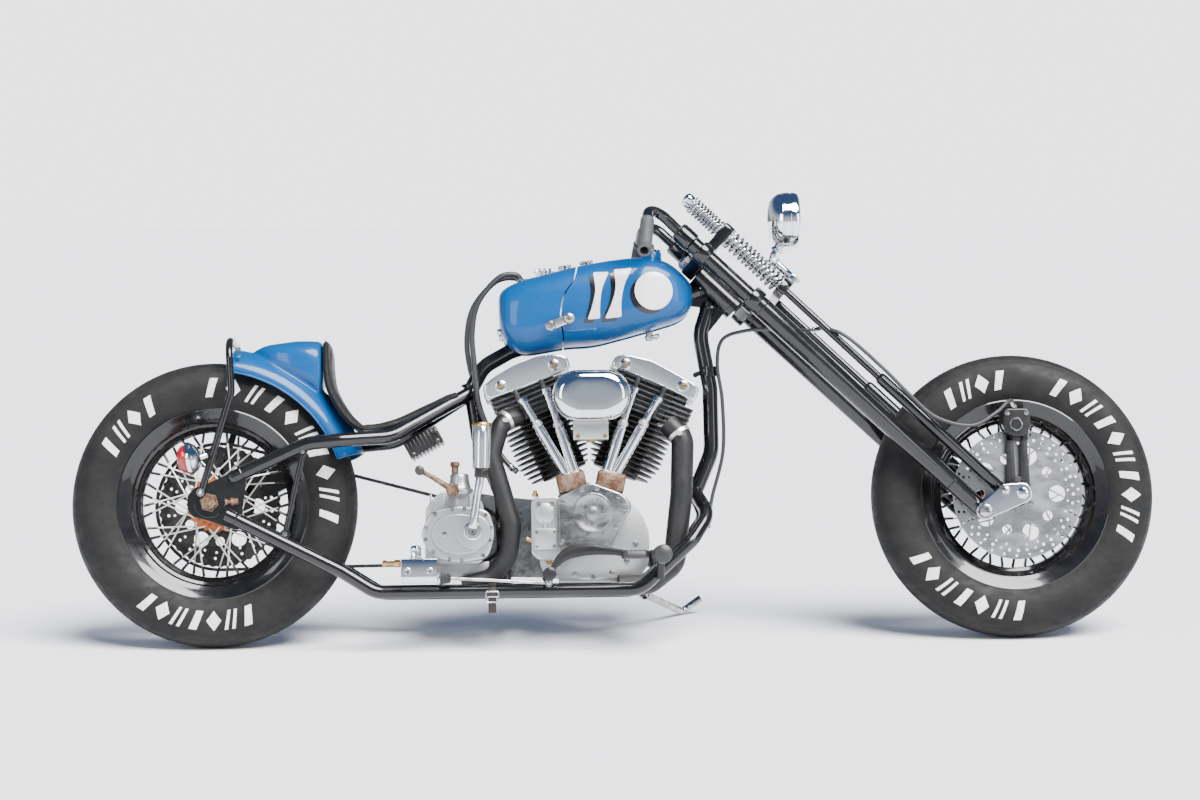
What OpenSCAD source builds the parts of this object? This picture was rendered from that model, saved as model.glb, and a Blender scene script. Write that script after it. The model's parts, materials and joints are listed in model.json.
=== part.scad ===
// Chopper motorcycle with a springer fork, parked on its side stand.
// +X runs forward, +Y to the rider's left, +Z up; the ground is z = 0.
// Every module below is drawn on the upright bike, with x = 0 at the rear
// axle, y = 0 on the centre line and z = 0 on the ground. parked() then leans
// the whole bike to its left and centres it.

/* [Stance] */
// Lean to the left when parked, in degrees
lean = 9.5; // [7:0.5:12]
// Distance between the axles
wheelbase = 1854; // [1800:1:1900]
// Steering head angle from the vertical
rake = 46.5; // [44:0.5:48]

/* [Wheels] */
// Outside diameter of both tyres
tyre_od = 658; // [640:1:670]
// Section width of both tyres
tyre_w = 130; // [120:1:136]
// Flange diameter of both rims
rim_od = 441; // [430:1:450]
// Spokes in each wheel
spokes = 40; // [24:4:48]
// Diameter of the drilled front disc
front_disc_d = 300; // [280:1:304]
// Diameter of the drilled rear disc and sprocket
rear_disc_d = 280; // [260:1:284]

/* [Frame] */
// Half the distance between the lower rails
rail_y = 130; // [124:1:136]
// Height of the lower rails above the ground
rail_z = 122; // [118:1:126]
// Radius of the backbone and the down tube
spine_r = 18; // [16:0.5:20]
// Radius of the rails and the stays
rail_r = 16; // [14:0.5:17]
// Radius of the hoop that carries the fender
hoop_r = 8.5; // [7:0.5:9]

/* [Fork] */
// Half the distance between the fork legs
leg_y = 108; // [107:1:110]
// Length of the rear fork legs
leg_len = 945; // [935:1:955]
// Height of the handlebar's bend above the ground
bar_top = 1012; // [1000:1:1025]

/* [Engine] */
// Angle of each cylinder from the vertical
bank = 22.5; // [22:0.5:23]
// Radius of the cylinder fins
fin_r = 76; // [70:1:78]
// Height of the crankshaft above the ground
crank_z = 238; // [234:1:242]

/* [Tank] */
// Half the width of the tanks
tank_y = 112; // [100:1:118]

/* [Hidden] */
$fn = 48;
// The tyre section as shares of its height and of its half width.
tyre_section = [[0, 0.62], [0.14, 0.8], [0.29, 0.94], [0.46, 1],
    [0.64, 0.98], [0.8, 0.85], [0.912, 0.65], [0.976, 0.37], [1, 0.12]];
bead_r = rim_od / 2 - 17;
tyre_h = tyre_od / 2 - bead_r;
// How far the leaning tyre reaches below its axle.
axle_z = max([for (p = tyre_section)
    (bead_r + p[0] * tyre_h) * cos(lean) + p[1] * tyre_w / 2 * sin(lean)]);
wheel_z = 330;
centre_y = 43;
crank_x = 868;
hub_pin_r = 10;
run = 0.05;
// The fork's own frame: x is ahead of the rear legs, z is up along them.
axle_ahead = 88.2;
axle_below = -34.8;
stem_x = -30;
// The side stand's pivot, its foot and the direction it folds in.
stand_pivot = [1000, rail_y + 36, 112];
stand_foot = [1102, 378, 71];
stand_axis = cross(stand_foot - stand_pivot, [-1, 0, 0]);
// Cross sections of the tanks: x, lowest z, highest z and half width.
tank_sections = [[660, 752, 800, 52], [664, 722, 814, 74],
    [676, 694, 826, 90], [700, 675, 838, 100], [730, 672, 848, 106],
    [770, 678, 857, 110], [820, 686, 870, 112], [880, 690, 882, 112],
    [940, 704, 891, 110], [1000, 720, 895, 106], [1046, 733, 886, 99],
    [1076, 743, 867, 90], [1096, 757, 847, 77], [1110, 777, 831, 56]];
// Routes of the tubes, by hand, in round numbers.
backbone = [[596, 0, 596], [622, 0, 645], [685, 0, 680], [1140, 0, 822]];
seat_post_route = [[590, 0, 606], [609, 0, 474], [662, 0, 340],
    [668, 0, rail_z]];
down_route = [[1154, 0, 788], [1130, 0, 715], [1152, 0, 590],
    [1153, 0, 440], [1108, 0, 335]];
function rail_route(s) = [[38, s * 122, 302], [300, s * rail_y, 170],
    [376, s * rail_y, rail_z], [976, s * rail_y, rail_z],
    [1098, s * 108, 232], [1140, s * 66, 292], [1112, s * 12, 346]];
function stay_route(s) = [[52, s * 122, 386], [222, s * 128, 462],
    [300, s * 128, 469], [412, s * 104, 477], [590, s * 14, 582]];
hoop_route = [[-18, -136, 350], [30, -132, 512], [50, -126, 580],
    [42, -112, 704], [42, 112, 704], [50, 126, 580], [30, 132, 512],
    [-18, 136, 350]];
front_pipe = [[1050, -58, 504], [1082, -70, 470], [1077, -70, 340],
    [1058, -66, 180], [1000, -74, 136], [930, -80, 130]];
pipe_r = [26, 22];
rear_pipe = [[706, -64, 524], [664, -86, 510], [640, -98, 430],
    [664, -98, 350], [686, -98, 270], [676, -92, 200], [640, -86, 152],
    [572, -84, 134]];

// ---- placing ----

// Leans the upright bike about the wheels' ground line and centres it.
module parked() {
    translate([-wheelbase / 2, -centre_y, axle_z])
        rotate([-lean, 0, 0])
            translate([0, 0, -wheel_z])
                children();
}

// Puts a shape drawn along the fork legs in its place.
module on_fork() {
    translate([wheelbase, 0, wheel_z])
        rotate([0, -rake, 0])
            translate([-axle_ahead, 0, -axle_below])
                children();
}

// Puts a shape drawn on a vertical cylinder on its bank of the engine.
module on_bank(side) {
    translate([crank_x, 0, crank_z])
        rotate([0, side * bank, 0])
            children();
}

// Turns the local z axis to the direction d, starting at p.
module along(p, d) {
    translate(p)
        rotate([0, acos(d[2] / norm(d)), atan2(d[1], d[0])])
            children();
}

module rod(p, q, r) {
    along(p, q - p)
        cylinder(r = r, h = norm(q - p));
}

// A cylinder across the bike from y0 to y1 at x, z.
module across(x, z, y0, y1, r, r2 = undef) {
    translate([x, y0, z])
        rotate([-90, 0, 0])
            cylinder(r1 = r, r2 = is_undef(r2) ? r : r2, h = y1 - y0);
}

// A flat plate of the given outline in x and z, from y0 to y1.
module plate(outline, y0, y1) {
    translate([0, y1, 0])
        rotate([90, 0, 0])
            linear_extrude(y1 - y0)
                polygon(outline);
}

// ---- curves ----

function unit(v) = v / norm(v);
function turn(a, b) = acos(max(-1, min(1, unit(a) * unit(b))));

// The line through the points p with its corners rounded to radius b.
function rounded(p, b) = let (n = len(p) - 1) concat([p[0]],
    [for (i = [1:n - 1]) let (u = unit(p[i] - p[i - 1]),
        v = unit(p[i + 1] - p[i]), t = turn(u, v), k = ceil(t / 9),
        inward = unit(v - u * (u * v)), back = b * tan(t / 2))
        for (j = [0:k]) let (a = t * j / k)
            p[i] - u * back + u * b * sin(a) + inward * b * (1 - cos(a))],
    [p[n]]);

// Directions along the points c, and side vectors that never twist.
function heading(c) = let (n = len(c) - 1) [for (i = [0:n])
    unit(c[min(n, i + 1)] - c[max(0, i - 1)])];
function carried(d, i, e) = unit(e - d[i] * (e * d[i]));
function sides(d, i = 0, e = [0.06, 0.08, 1]) = i == len(d) ? []
    : let (f = carried(d, i, e)) concat([f], sides(d, i + 1, f));

// A tube of radius r along the points c, with m sides.
module sweep(c, r, m) {
    d = heading(c);
    e = sides(d);
    skin_of([for (i = [0:len(c) - 1]) let (f = cross(d[i], e[i]))
        [for (j = [0:m - 1])
            c[i] - r * cos(360 * j / m) * e[i] + r * sin(360 * j / m) * f]]);
}

// A tube of radius r through the points p, with its corners bent to radius b.
module tube(p, r, b) {
    sweep(rounded(p, b), r, 20);
}

// Points of a smooth curve through the points p, k steps a span.
function spline(p, k) = let (n = len(p) - 1) concat(
    [for (i = [0:n - 1], j = [0:k - 1]) let (t = j / k,
        a = p[max(0, i - 1)], b = p[i], c = p[i + 1], d = p[min(n, i + 2)])
        0.5 * ((2 * b) + (c - a) * t + (2 * a - 5 * b + 4 * c - d) * t * t
            + (3 * b - a - 3 * c + d) * t * t * t)],
    [p[n]]);

// Joins rings of m points each into one closed solid.
module skin_of(rings) {
    m = len(rings[0]);
    n = len(rings);
    points = [for (ring = rings, q = ring) q];
    walls = [for (i = [0:n - 2], j = [0:m - 1])
        [i * m + j, i * m + (j + 1) % m, (i + 1) * m + (j + 1) % m,
            (i + 1) * m + j]];
    split = [for (f = walls) each [[f[0], f[1], f[2]], [f[0], f[2], f[3]]]];
    ends = [[for (j = [m - 1:-1:0]) j],
        [for (j = [0:m - 1]) (n - 1) * m + j]];
    polyhedron(points, concat(split, ends), convexity = 6);
}

// A hose of radius r along a smooth curve through the points p.
module hose(p, r) {
    sweep(spline(p, 5), r, 10);
}

// A closed shell through cross sections [x, low z, high z, half width],
// each a rounded box whose corners are as full as power says.
module shell(sections, power, m = 32) {
    skin_of([for (s = sections) [for (j = [0:m - 1])
        let (a = 360 * j / m, c = cos(a), d = sin(a))
        [s[0], -s[3] * sign(c) * pow(abs(c), power),
            (s[1] + s[2]) / 2 + (s[2] - s[1]) / 2 * sign(d)
                * pow(abs(d), power)]]]);
}

// ---- frame ----

module main_frame() {
    color("black") parked()
        difference() {
            union() {
                tube(backbone, spine_r, 70);
                on_fork()
                    translate([stem_x, 0, 735])
                        cylinder(r = 29, h = 120);
                plate([[1060, 788], [1150, 836], [1196, 776], [1150, 720],
                    [1128, 740], [1130, 780]], -5, 5);
            }
            on_fork()
                translate([stem_x, 0, 700])
                    cylinder(r = 15 + run, h = 190);
        }
}

module seat_post() {
    color("black") parked() {
        tube(seat_post_route, spine_r - 2, 80);
        across(668, rail_z, -rail_y + 4, rail_y - 4, 13);
    }
}

module down_tube() {
    color("black") parked() {
        tube(down_route, spine_r, 90);
        rod([1152, 0, 640], [1152, 0, 616], spine_r + 5);
    }
}

module rail(s) {
    tube(rail_route(s), rail_r, 62);
    rod([214, s * 127, 448], [170, s * 125, 250], 7);
}

module lower_rail_right() {
    color("black") parked()
        rail(-1);
}

module lower_rail_left() {
    up = unit(stand_axis);
    color("black") parked() {
        rail(1);
        rod(stand_pivot - up * 12, stand_pivot + up * 34, 6);
        rod([stand_pivot[0], rail_y, rail_z + 12], stand_pivot + up * 28, 7);
    }
}

module upper_stays() {
    color("black") parked()
        for (s = [-1, 1])
            tube(stay_route(s), rail_r, 90);
}

module axle_plates() {
    color("black") parked()
        for (s = [-1, 1])
            difference() {
                union() {
                    plate([[-50, 326], [-47, 348], [-34, 364], [-8, 370],
                        [36, 392], [78, 408], [84, 396], [76, 330],
                        [70, 268], [54, 268], [-6, 290], [-38, 298]],
                        s * 122 - 6, s * 122 + 6);
                    across(0, wheel_z, s * 122 - 6, s * 122 + 6, 34);
                }
                plate([[38, 322], [62, 322], [62, 340], [38, 340]],
                    s * 122 - 8, s * 122 + 8);
            }
}

module rear_axle() {
    color("peru") parked() {
        across(0, wheel_z, -150, 148, hub_pin_r);
        across(0, wheel_z, -148, -129, 19);
        across(0, wheel_z, 129, 146, 17);
        across(0, wheel_z, -115, -72, 15);
        across(0, wheel_z, 99, 115, 15);
    }
}

module fender_hoop() {
    color("black") parked()
        tube(hoop_route, hoop_r, 52);
}

// ---- body ----

module rear_fender() {
    color("dodgerblue") parked()
        difference() {
            union() {
                fender_solid(0, 82, 19, 306);
                shell([[92, 668, 686, 30], [118, 646, 698, 52],
                    [150, 630, 703, 66], [190, 604, 708, 74],
                    [225, 584, 708, 76], [246, 566, 706, 72],
                    [251, 572, 700, 66]], 0.7, 24);
            }
            fender_solid(5, 84, 15, 280);
        }
}

// The fender filled in down to the radius low, between two angles.
module fender_solid(inset, from, to, low) {
    steps = 20;
    skin_of([for (i = [0:steps]) let (a = from + (to - from) * i / steps)
        [for (q = fender_section(inset, low))
            [q[1] * cos(a), q[0], wheel_z + q[1] * sin(a)]]]);
}

function fender_section(inset, low) = concat(
    [[-88 + inset, low - 1]],
    [for (j = [0:12]) [-(88 - inset) * cos(15 * j),
        306 + (58 - inset) * sin(15 * j)]],
    [[88 - inset, low - 1]]);

module seat() {
    route = spline([[252, 0, 703], [253, 0, 640], [260, 0, 592],
        [283, 0, 546], [313, 0, 507], [344, 0, 488], [376, 0, 488],
        [402, 0, 494], [437, 0, 506], [485, 0, 529], [530, 0, 550],
        [568, 0, 570]], 3);
    n = len(route) - 1;
    color("black") parked()
        skin_of([for (i = [0:n]) let (t = i / n,
            d = unit(route[min(n, i + 1)] - route[max(0, i - 1)]),
            up = [-d[2], 0, d[0]],
            w = 62 + 54 * pow(sin(min(1, 0.15 + t * 1.05) * 150), 2) - 26 * t)
            [for (j = [0:19]) let (a = 18 * j, c = cos(a), e = sin(a))
                route[i] + [0, w * sign(c) * pow(abs(c), 0.35), 0]
                    - up * (9 * sign(e) * pow(abs(e), 0.6) - 9)]]);
}

// The outline of both tanks together, or of the space inside them when
// wall is more than zero.
module tank_body(wall) {
    shell([for (t = tank_sections)
        [830 + (t[0] - 830) * (1 - wall / 228), t[1] + wall, t[2] - wall,
            t[3] * tank_y / 112 - wall]], 0.62, 36);
}

// The slot under the tanks that the backbone runs through, grown by g.
module tank_tunnel(g) {
    translate([685, 0, 680])
        rotate([0, -atan((822 - 680) / (1140 - 685)), 0])
            translate([-60, -24 - g, -160])
                cube([620, 48 + 2 * g, 184 + g]);
}

// Everything behind the seam between the two tanks, g ahead of it.
module behind_seam(g) {
    translate([806 + g, 0, 690])
        rotate([0, atan(29 / 180), 0])
            translate([-400, -200, -200])
                cube([400, 400, 600]);
}

module fuel_tank() {
    color("dodgerblue") parked()
        difference() {
            union() {
                difference() {
                    tank_body(0);
                    behind_seam(3);
                }
                translate([1018, -20, 884])
                    cylinder(r = 24, h = 24);
            }
            tank_tunnel(0);
            difference() {
                tank_body(5);
                tank_tunnel(5);
                behind_seam(8);
            }
            translate([1018, -20, 860])
                cylinder(r = 16, h = 60);
        }
}

module oil_tank() {
    color("dodgerblue") parked()
        difference() {
            intersection() {
                tank_body(0);
                behind_seam(-3);
            }
            tank_tunnel(0);
            intersection() {
                difference() {
                    tank_body(5);
                    tank_tunnel(5);
                }
                behind_seam(-8);
            }
            translate([768, 0, 830])
                cylinder(r = 16, h = 60);
        }
}

module tank_fittings() {
    color("silver") parked() {
        translate([1018, -20, 908.1])
            cylinder(r = 22, h = 5);
        translate([1018, -20, 912])
            cylinder(r = 7, h = 16);
        translate([768, 0, 857.2])
            cylinder(r = 24, h = 18);
        for (s = [-1, 1]) {
            for (p = [[779, 727], [822, 744]]) {
                across(p[0], p[1], s * (tank_y + 10) - 5,
                    s * (tank_y + 10) + 5, 12);
                across(p[0], p[1], s * (tank_y - 2) - 8,
                    s * (tank_y - 2) + 8, 6);
            }
            plate([[778, 731], [821, 748], [823, 740], [780, 723]],
                s * (tank_y + 9) - 3, s * (tank_y + 9) + 3);
        }
    }
}

module oil_lines() {
    color("black") parked() {
        hose([[716, -34, 838], [700, -40, 856], [660, -44, 848],
            [612, -42, 790], [598, -42, 720], [602, -44, 650],
            [606, -46, 600], [612, -45, 556], [628, -42, 508],
            [652, -44, 450], [690, -58, 400]], 6.5);
        hose([[716, 34, 838], [700, 40, 858], [652, 44, 850],
            [600, 42, 790], [584, 42, 716], [590, 44, 650],
            [604, 48, 600], [612, 48, 556], [628, 46, 506],
            [652, 46, 450], [700, 50, 400]], 6.5);
    }
}

// ---- engine ----

module crankcase() {
    color("silver") parked() {
        across(crank_x, crank_z, -48, 61, 112);
        plate([[736, 200], [780, 156], [960, 156], [1008, 210], [1014, 300],
            [960, 342], [780, 342], [736, 326]], -50, 56);
        for (side = [-1, 1])
            on_bank(side) {
                translate([0, 0, 90])
                    cylinder(r = 59, h = 60);
                translate([-34, -130, 104])
                    cube([68, 84, 54]);
            }
        plate([[864, 367], [937, 339], [954, 322], [957, 305], [931, 265],
            [908, 212], [792, 222], [790, 332]], -142, -52);
        across(870, 296, -150, -138, 45);
        plate([[730, 204], [794, 190], [794, 336], [730, 330]], -122, -50);
    }
}

module cylinders() {
    color("dimgray") parked()
        for (side = [-1, 1])
            on_bank(side) {
                translate([0, 0, 150.2])
                    cylinder(r = 54, h = 144.6);
                for (i = [0:9])
                    let (z = 156 + 13 * i)
                        translate([10 * side, 0, z])
                            cylinder(r = min(fin_r, z * tan(bank) - 2) + 10,
                                h = 4);
            }
}

module rocker_boxes() {
    color("silver") parked()
        for (side = [-1, 1])
            on_bank(side) {
                for (i = [0:7])
                    translate([-90 + 6 * side, -74, 296 + 12 * i])
                        cube([180 + (i < 5 ? 10 : 0) * (side + 1), 148, 5]);
                translate([-62, -62, 295])
                    cube([124, 124, 95.2]);
                translate([-92, -78, 390])
                    cube([184 + 8 * (side + 1), 156, 34]);
                translate([-62 + 8 * side, -70, 424])
                    cube([124, 140, 14]);
            }
}

module pushrod_tubes() {
    color("silver") parked() {
        rod([814, -100, 385], [712, -98, 562], 9);
        rod([832, -106, 390], [766, -98, 584], 9);
        rod([904, -106, 390], [972, -98, 584], 9);
        rod([922, -100, 385], [1026, -98, 562], 9);
        rod([814, -100, 385], [788, -99, 430], 12);
        rod([832, -106, 390], [816, -104, 438], 12);
        rod([904, -106, 390], [920, -104, 438], 12);
        rod([922, -100, 385], [948, -99, 430], 12);
    }
}

module air_cleaner() {
    color("silver") parked() {
        for (x = [838, 902])
            across(x, 562, -196, -150, 58);
        translate([838, -196, 504])
            cube([64, 46, 116]);
    }
}

module carburettor() {
    color("silver") parked() {
        across(870, 560, -149.8, -22, 27);
        translate([826, -146, 460])
            cube([84, 62, 62]);
        across(870, 500, -120, -84, 36);
        rod([842, -40, 524], [898, -40, 524], 20);
    }
}

module primary_cover() {
    color("silver") parked() {
        across(crank_x, crank_z, 62.2, 131, 88);
        across(610, 256, 105, 131, 98);
        plate([[crank_x, crank_z + 87], [600, 353], [600, 159],
            [crank_x, crank_z - 87]], 105, 126);
    }
}

// ---- transmission ----

module gearbox() {
    color("silver") parked() {
        plate([[486, 190], [622, 190], [622, 330], [600, 350], [520, 350],
            [486, 320]], -78, 76);
        across(598, 256, -128, 78, 40);
        plate([[476, 250], [500, 202], [560, 184], [632, 196], [648, 256],
            [634, 306], [560, 318], [500, 304]], -124, -66);
        plate([[543, 350], [588, 350], [588, 392], [543, 392]], -96, -30);
        plate([[486, 150], [632, 150], [632, 196], [486, 196]], -60, 60);
    }
}

module kick_starter() {
    color("silver") parked() {
        across(598, 256, -196, -128.2, 12);
        rod([598, -190, 256], [618, -196, 388], 10);
        rod([618, -196, 380], [621, -196, 500], 21);
    }
}

module shift_lever() {
    color("saddlebrown") parked() {
        rod([556, -62, 392.2], [556, -62, 352], 8);
        across(552, 352, -150, -96.2, 16);
        rod([552, -140, 352], [478, -152, 396], 6);
        rod([478, -168, 396], [478, -136, 396], 11);
        rod([556, -62, 420], [556, -62, 392], 12);
    }
}

module exhaust_pipes() {
    color("dimgray") parked()
        for (k = [0:1]) {
            p = [front_pipe, rear_pipe][k];
            last = p[len(p) - 1];
            d = unit(last - p[len(p) - 2]);
            difference() {
                tube(p, pipe_r[k], 44);
                rod(last - d * 40, last + d * 4, pipe_r[k] - 2);
            }
        }
}

module drive_chain() {
    color("dimgray") parked()
        difference() {
            loop_of(152, 70, 84, 100);
            loop_of(144.5, 62, 82, 102);
        }
}

// A belt shaped block round the rear sprocket and the gearbox sprocket.
module loop_of(r1, r2, y0, y1) {
    d = [598, 256 - wheel_z];
    tilt = acos((r1 - r2) / norm(d));
    a = atan2(d[1], d[0]);
    top = [cos(a + tilt), sin(a + tilt)];
    low = [cos(a - tilt), sin(a - tilt)];
    across(0, wheel_z, y0, y1, r1);
    across(598, 256, y0, y1, r2);
    plate([[r1 * top[0], wheel_z + r1 * top[1]],
        [598 + r2 * top[0], 256 + r2 * top[1]],
        [598 + r2 * low[0], 256 + r2 * low[1]],
        [r1 * low[0], wheel_z + r1 * low[1]]], y0, y1);
}

// ---- small parts on the frame ----

module battery_box() {
    color("black") parked() {
        translate([454, -62, 424])
            rotate([0, -28, 0])
                cube([92, 124, 46]);
    }
}

module tail_light() {
    color("silver") parked() {
        rod([-68, -158, 424], [-16, -158, 432], 38);
        rod([-16, -158, 432], [-4, -150, 436], 14);
    }
}

module brake_master_cylinder() {
    color("silver") parked() {
        translate([434, -178, 140])
            cube([84, 46, 58]);
        rod([468, -155, 198], [468, -155, 226], 13);
        rod([518, -155, 152], [548, -155, 151], 15);
        rod([548, -155, 151], [768, -155, 138], 4);
        rod([440, -150, 190], [394, -138, 186], 7);
        across(768, 138, -172, -148, 9);
    }
}

module foot_controls() {
    color("black") parked() {
        for (s = [-1, 1]) {
            rod([1022, s * (rail_y + 15), 146], [1022, s * 178, 198], 9);
            rod([1022, s * 176, 196], [1022, s * 286, 200], 21);
            across(770, 158, s * 172 - 26, s * 172 + 26, 12);
            rod([770, s * 190, 158], [808, s * 198, 206], 8);
            rod([808, s * 198, 206], [900, s * 206, 214], 10);
            rod([900, s * 206, 214], [936, s * 214, 204], 9);
            translate([930, s * 222 - 29, 188])
                cube([64, 58, 20]);
        }
    }
}

module rear_brake_caliper() {
    color("dimgray") parked()
        difference() {
            union() {
                plate([[96, 372], [116, 352], [160, 372], [152, 424],
                    [112, 420]], 70, 104);
                rod([72, 118, 352], [112, 98, 366], 7);
            }
            across(0, wheel_z, 83, 99, rear_disc_d / 2 + 5);
        }
}

module hose_loop() {
    color("black") parked()
        hose([[1384, -66, 716], [1300, -52, 722], [1230, -30, 720],
            [1180, -24, 700], [1168, -26, 640], [1178, -26, 560],
            [1178, -26, 440], [1150, -30, 330], [1140, -44, 262]], 4.5);
}

// ---- fork ----

module fork_legs() {
    color("black") parked() on_fork() {
        for (s = [-1, 1])
            translate([0, s * leg_y, 0]) {
                cylinder(r1 = 20, r2 = 24.5, h = 716);
                cylinder(r = 19, h = leg_len);
                translate([0, 0, 702])
                    cylinder(r = 30, h = 28);
                translate([0, 0, 860])
                    cylinder(r = 26, h = 28);
                translate([0, 0, leg_len - 34])
                    cylinder(r = 24, h = 40);
                rotate([90, 0, 0])
                    cylinder(r = 20, h = 36, center = true);
            }
        crown(702);
        crown(860);
        translate([stem_x, 0, 716])
            cylinder(r = 15, h = 168);
        difference() {
            translate([0, -48, 861])
                cube([106, 96, 26]);
            for (s = [-1, 1])
                translate([84, s * 24, 850])
                    cylinder(r = 8, h = 50);
        }
    }
}

// A crown plate from leg to leg, with its boss round the stem.
module crown(up) {
    translate([0, 0, up]) {
        translate([stem_x, 0, 0.4])
            cylinder(r = 21.5, h = 27.2);
        linear_extrude(28)
            polygon([[stem_x - 14, -14], [-10, -leg_y], [14, -leg_y],
                [14, leg_y], [-10, leg_y], [stem_x - 14, 14]]);
    }
}

module fork_front_legs() {
    color("black") parked() on_fork() {
        for (s = [-1, 1]) {
            translate([66, s * leg_y, -2]) {
                cylinder(r = 9, h = 690);
                cylinder(r = 14, h = 388);
                rotate([90, 0, 0])
                    cylinder(r = 14, h = 36, center = true);
            }
            translate([84, s * 24, 690]) {
                cylinder(r = 7, h = 300);
                translate([0, 0, 288])
                    cylinder(r = 14, h = 24);
            }
        }
        translate([52, -leg_y - 12, 674])
            cube([52, 2 * leg_y + 24, 22]);
    }
}

module fork_springs() {
    color("silver") parked() on_fork()
        for (s = [-1, 1])
            translate([84, s * 24, 0]) {
                spring_sleeve(696.2, 859.8, 21);
                spring_sleeve(888.2, 977.8, 18);
            }
}

module spring_sleeve(z0, z1, r) {
    translate([0, 0, z0])
        difference() {
            cylinder(r = r, h = z1 - z0);
            translate([0, 0, -1])
                cylinder(r = 7.5, h = z1 - z0 + 2);
        }
}

module fork_rockers() {
    color("silver") parked() on_fork()
        for (s = [-1, 1])
            difference() {
                union() {
                    across(0, 0, s * (leg_y + 25) - 5, s * (leg_y + 25) + 5,
                        20);
                    across(axle_ahead, axle_below, s * (leg_y + 25) - 5,
                        s * (leg_y + 25) + 5, 24);
                    plate([[-4, -19.5], [84, -57], [98, -14], [66, 14],
                        [6, 19.5]], s * (leg_y + 25) - 4.5,
                        s * (leg_y + 25) + 4.5);
                    across(0, 0, s * (leg_y + 30) - 11,
                        s * (leg_y + 30) + 11, 11);
                    across(66, -2, s * (leg_y + 30) - 11,
                        s * (leg_y + 30) + 11, 13);
                }
                across(axle_ahead, axle_below, -200, 200, hub_pin_r + 0.2);
            }
}

module front_axle() {
    end = leg_y + 44;
    color("silver") parked() {
        across(wheelbase, wheel_z, -end, end, hub_pin_r);
        for (s = [-1, 1]) {
            across(wheelbase, wheel_z, s * (leg_y + 36) - 5.8,
                s * (leg_y + 36) + 5.8, 17);
            across(wheelbase, wheel_z, s > 0 ? 62 : -leg_y - 19.8,
                s > 0 ? leg_y + 19.8 : -94.2, 15);
        }
    }
}

module handlebar() {
    color("black") parked()
        for (s = [-1, 1])
            difference() {
                tube(bar_route(s), 12.7, 44);
                rod(bar_route(s)[2] + bar_end(s) * 2,
                    bar_route(s)[2] - bar_end(s) * 60, 9.5);
            }
}

function fork_point(ahead, y, up) = [wheelbase, y, wheel_z]
    + [(ahead - axle_ahead) * cos(rake) - (up - axle_below) * sin(rake), 0,
        (ahead - axle_ahead) * sin(rake) + (up - axle_below) * cos(rake)];
function bar_route(s) = [fork_point(0, s * leg_y, leg_len + 6),
    [1010, s * 116, bar_top], [990, s * 282, 883]];

function bar_end(s) = unit(bar_route(s)[2] - bar_route(s)[1]);

module grips() {
    color("dimgray") parked()
        for (s = [-1, 1]) {
            d = bar_end(s);
            p = bar_route(s)[2];
            difference() {
                rod(p - d * 124, p + d * 14, 16);
                rod(p - d * 130, p + d * 20, 12.75);
            }
        }
}

module headlight() {
    color("silver") parked() {
        translate([1296, 0, 983])
            rotate([0, 90, 0]) {
                cylinder(r1 = 54, r2 = 67, h = 24);
                translate([0, 0, 24])
                    cylinder(r = 67, h = 34);
                translate([0, 0, 58])
                    cylinder(r1 = 67, r2 = 58, h = 16);
            }
        rod([1318, 0, 922], [1305, 0, 892], 11);
        on_fork() {
            translate([117, 0, 684])
                cylinder(r = 9.5, h = 74);
            translate([99, -16, 676])
                cube([26, 32, 17]);
        }
    }
}

module front_brake_caliper() {
    color("black") parked() {
        difference() {
            plate([[1818, 484], [1826, 470], [1874, 470], [1884, 484],
                [1880, 526], [1822, 526]], -110, -57);
            across(wheelbase, wheel_z, -84, -68, front_disc_d / 2 + 6);
        }
        difference() {
            union() {
                across(wheelbase, wheel_z, -94, -86, 24);
                plate([[1840, 346], [1824, 486], [1840, 486], [1853, 350]],
                    -94, -86);
                plate([[1868, 346], [1878, 486], [1864, 486], [1855, 350]],
                    -94, -86);
            }
            across(wheelbase, wheel_z, -96, -84, 10.2);
        }
    }
}

module front_hose() {
    color("black") parked()
        hose([[1848, -98, 527], [1838, -104, 546], [1800, -128, 516],
            [1740, -138, 486], [1660, -136, 506], [1600, -132, 560],
            [1540, -130, 622], [1460, -128, 694], [1412, -104, 716],
            [1389, -73, 717]], 4.5);
}

// ---- wheels ----

module tyre(x) {
    outer = [for (p = tyre_section)
        [bead_r + p[0] * tyre_h, p[1] * tyre_w / 2]];
    lining = [for (p = tyre_section)
        [bead_r + p[0] * (tyre_h - 16), p[1] * (tyre_w / 2 - 13)]];
    half = concat([for (i = [len(lining) - 1:-1:0]) lining[i]], outer);
    other = [for (i = [len(half) - 1:-1:0]) [half[i][0], -half[i][1]]];
    color("black") parked()
        translate([x, 0, wheel_z])
            rotate([90, 0, 0])
                rotate_extrude($fn = 96)
                    polygon(concat(half, other));
}

module rim(x) {
    color("black") parked()
        translate([x, 0, wheel_z])
            rotate([90, 0, 0])
                rotate_extrude($fn = 96)
                    polygon([[bead_r - 36, -20], [bead_r - 8, -46],
                        [bead_r + 16, -52], [bead_r + 17, -48],
                        [bead_r, -44], [bead_r - 0.2, -30],
                        [bead_r - 26, -20], [bead_r - 26, 20],
                        [bead_r - 0.2, 30], [bead_r, 44], [bead_r + 17, 48],
                        [bead_r + 16, 52], [bead_r - 8, 46],
                        [bead_r - 36, 20]]);
}

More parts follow.
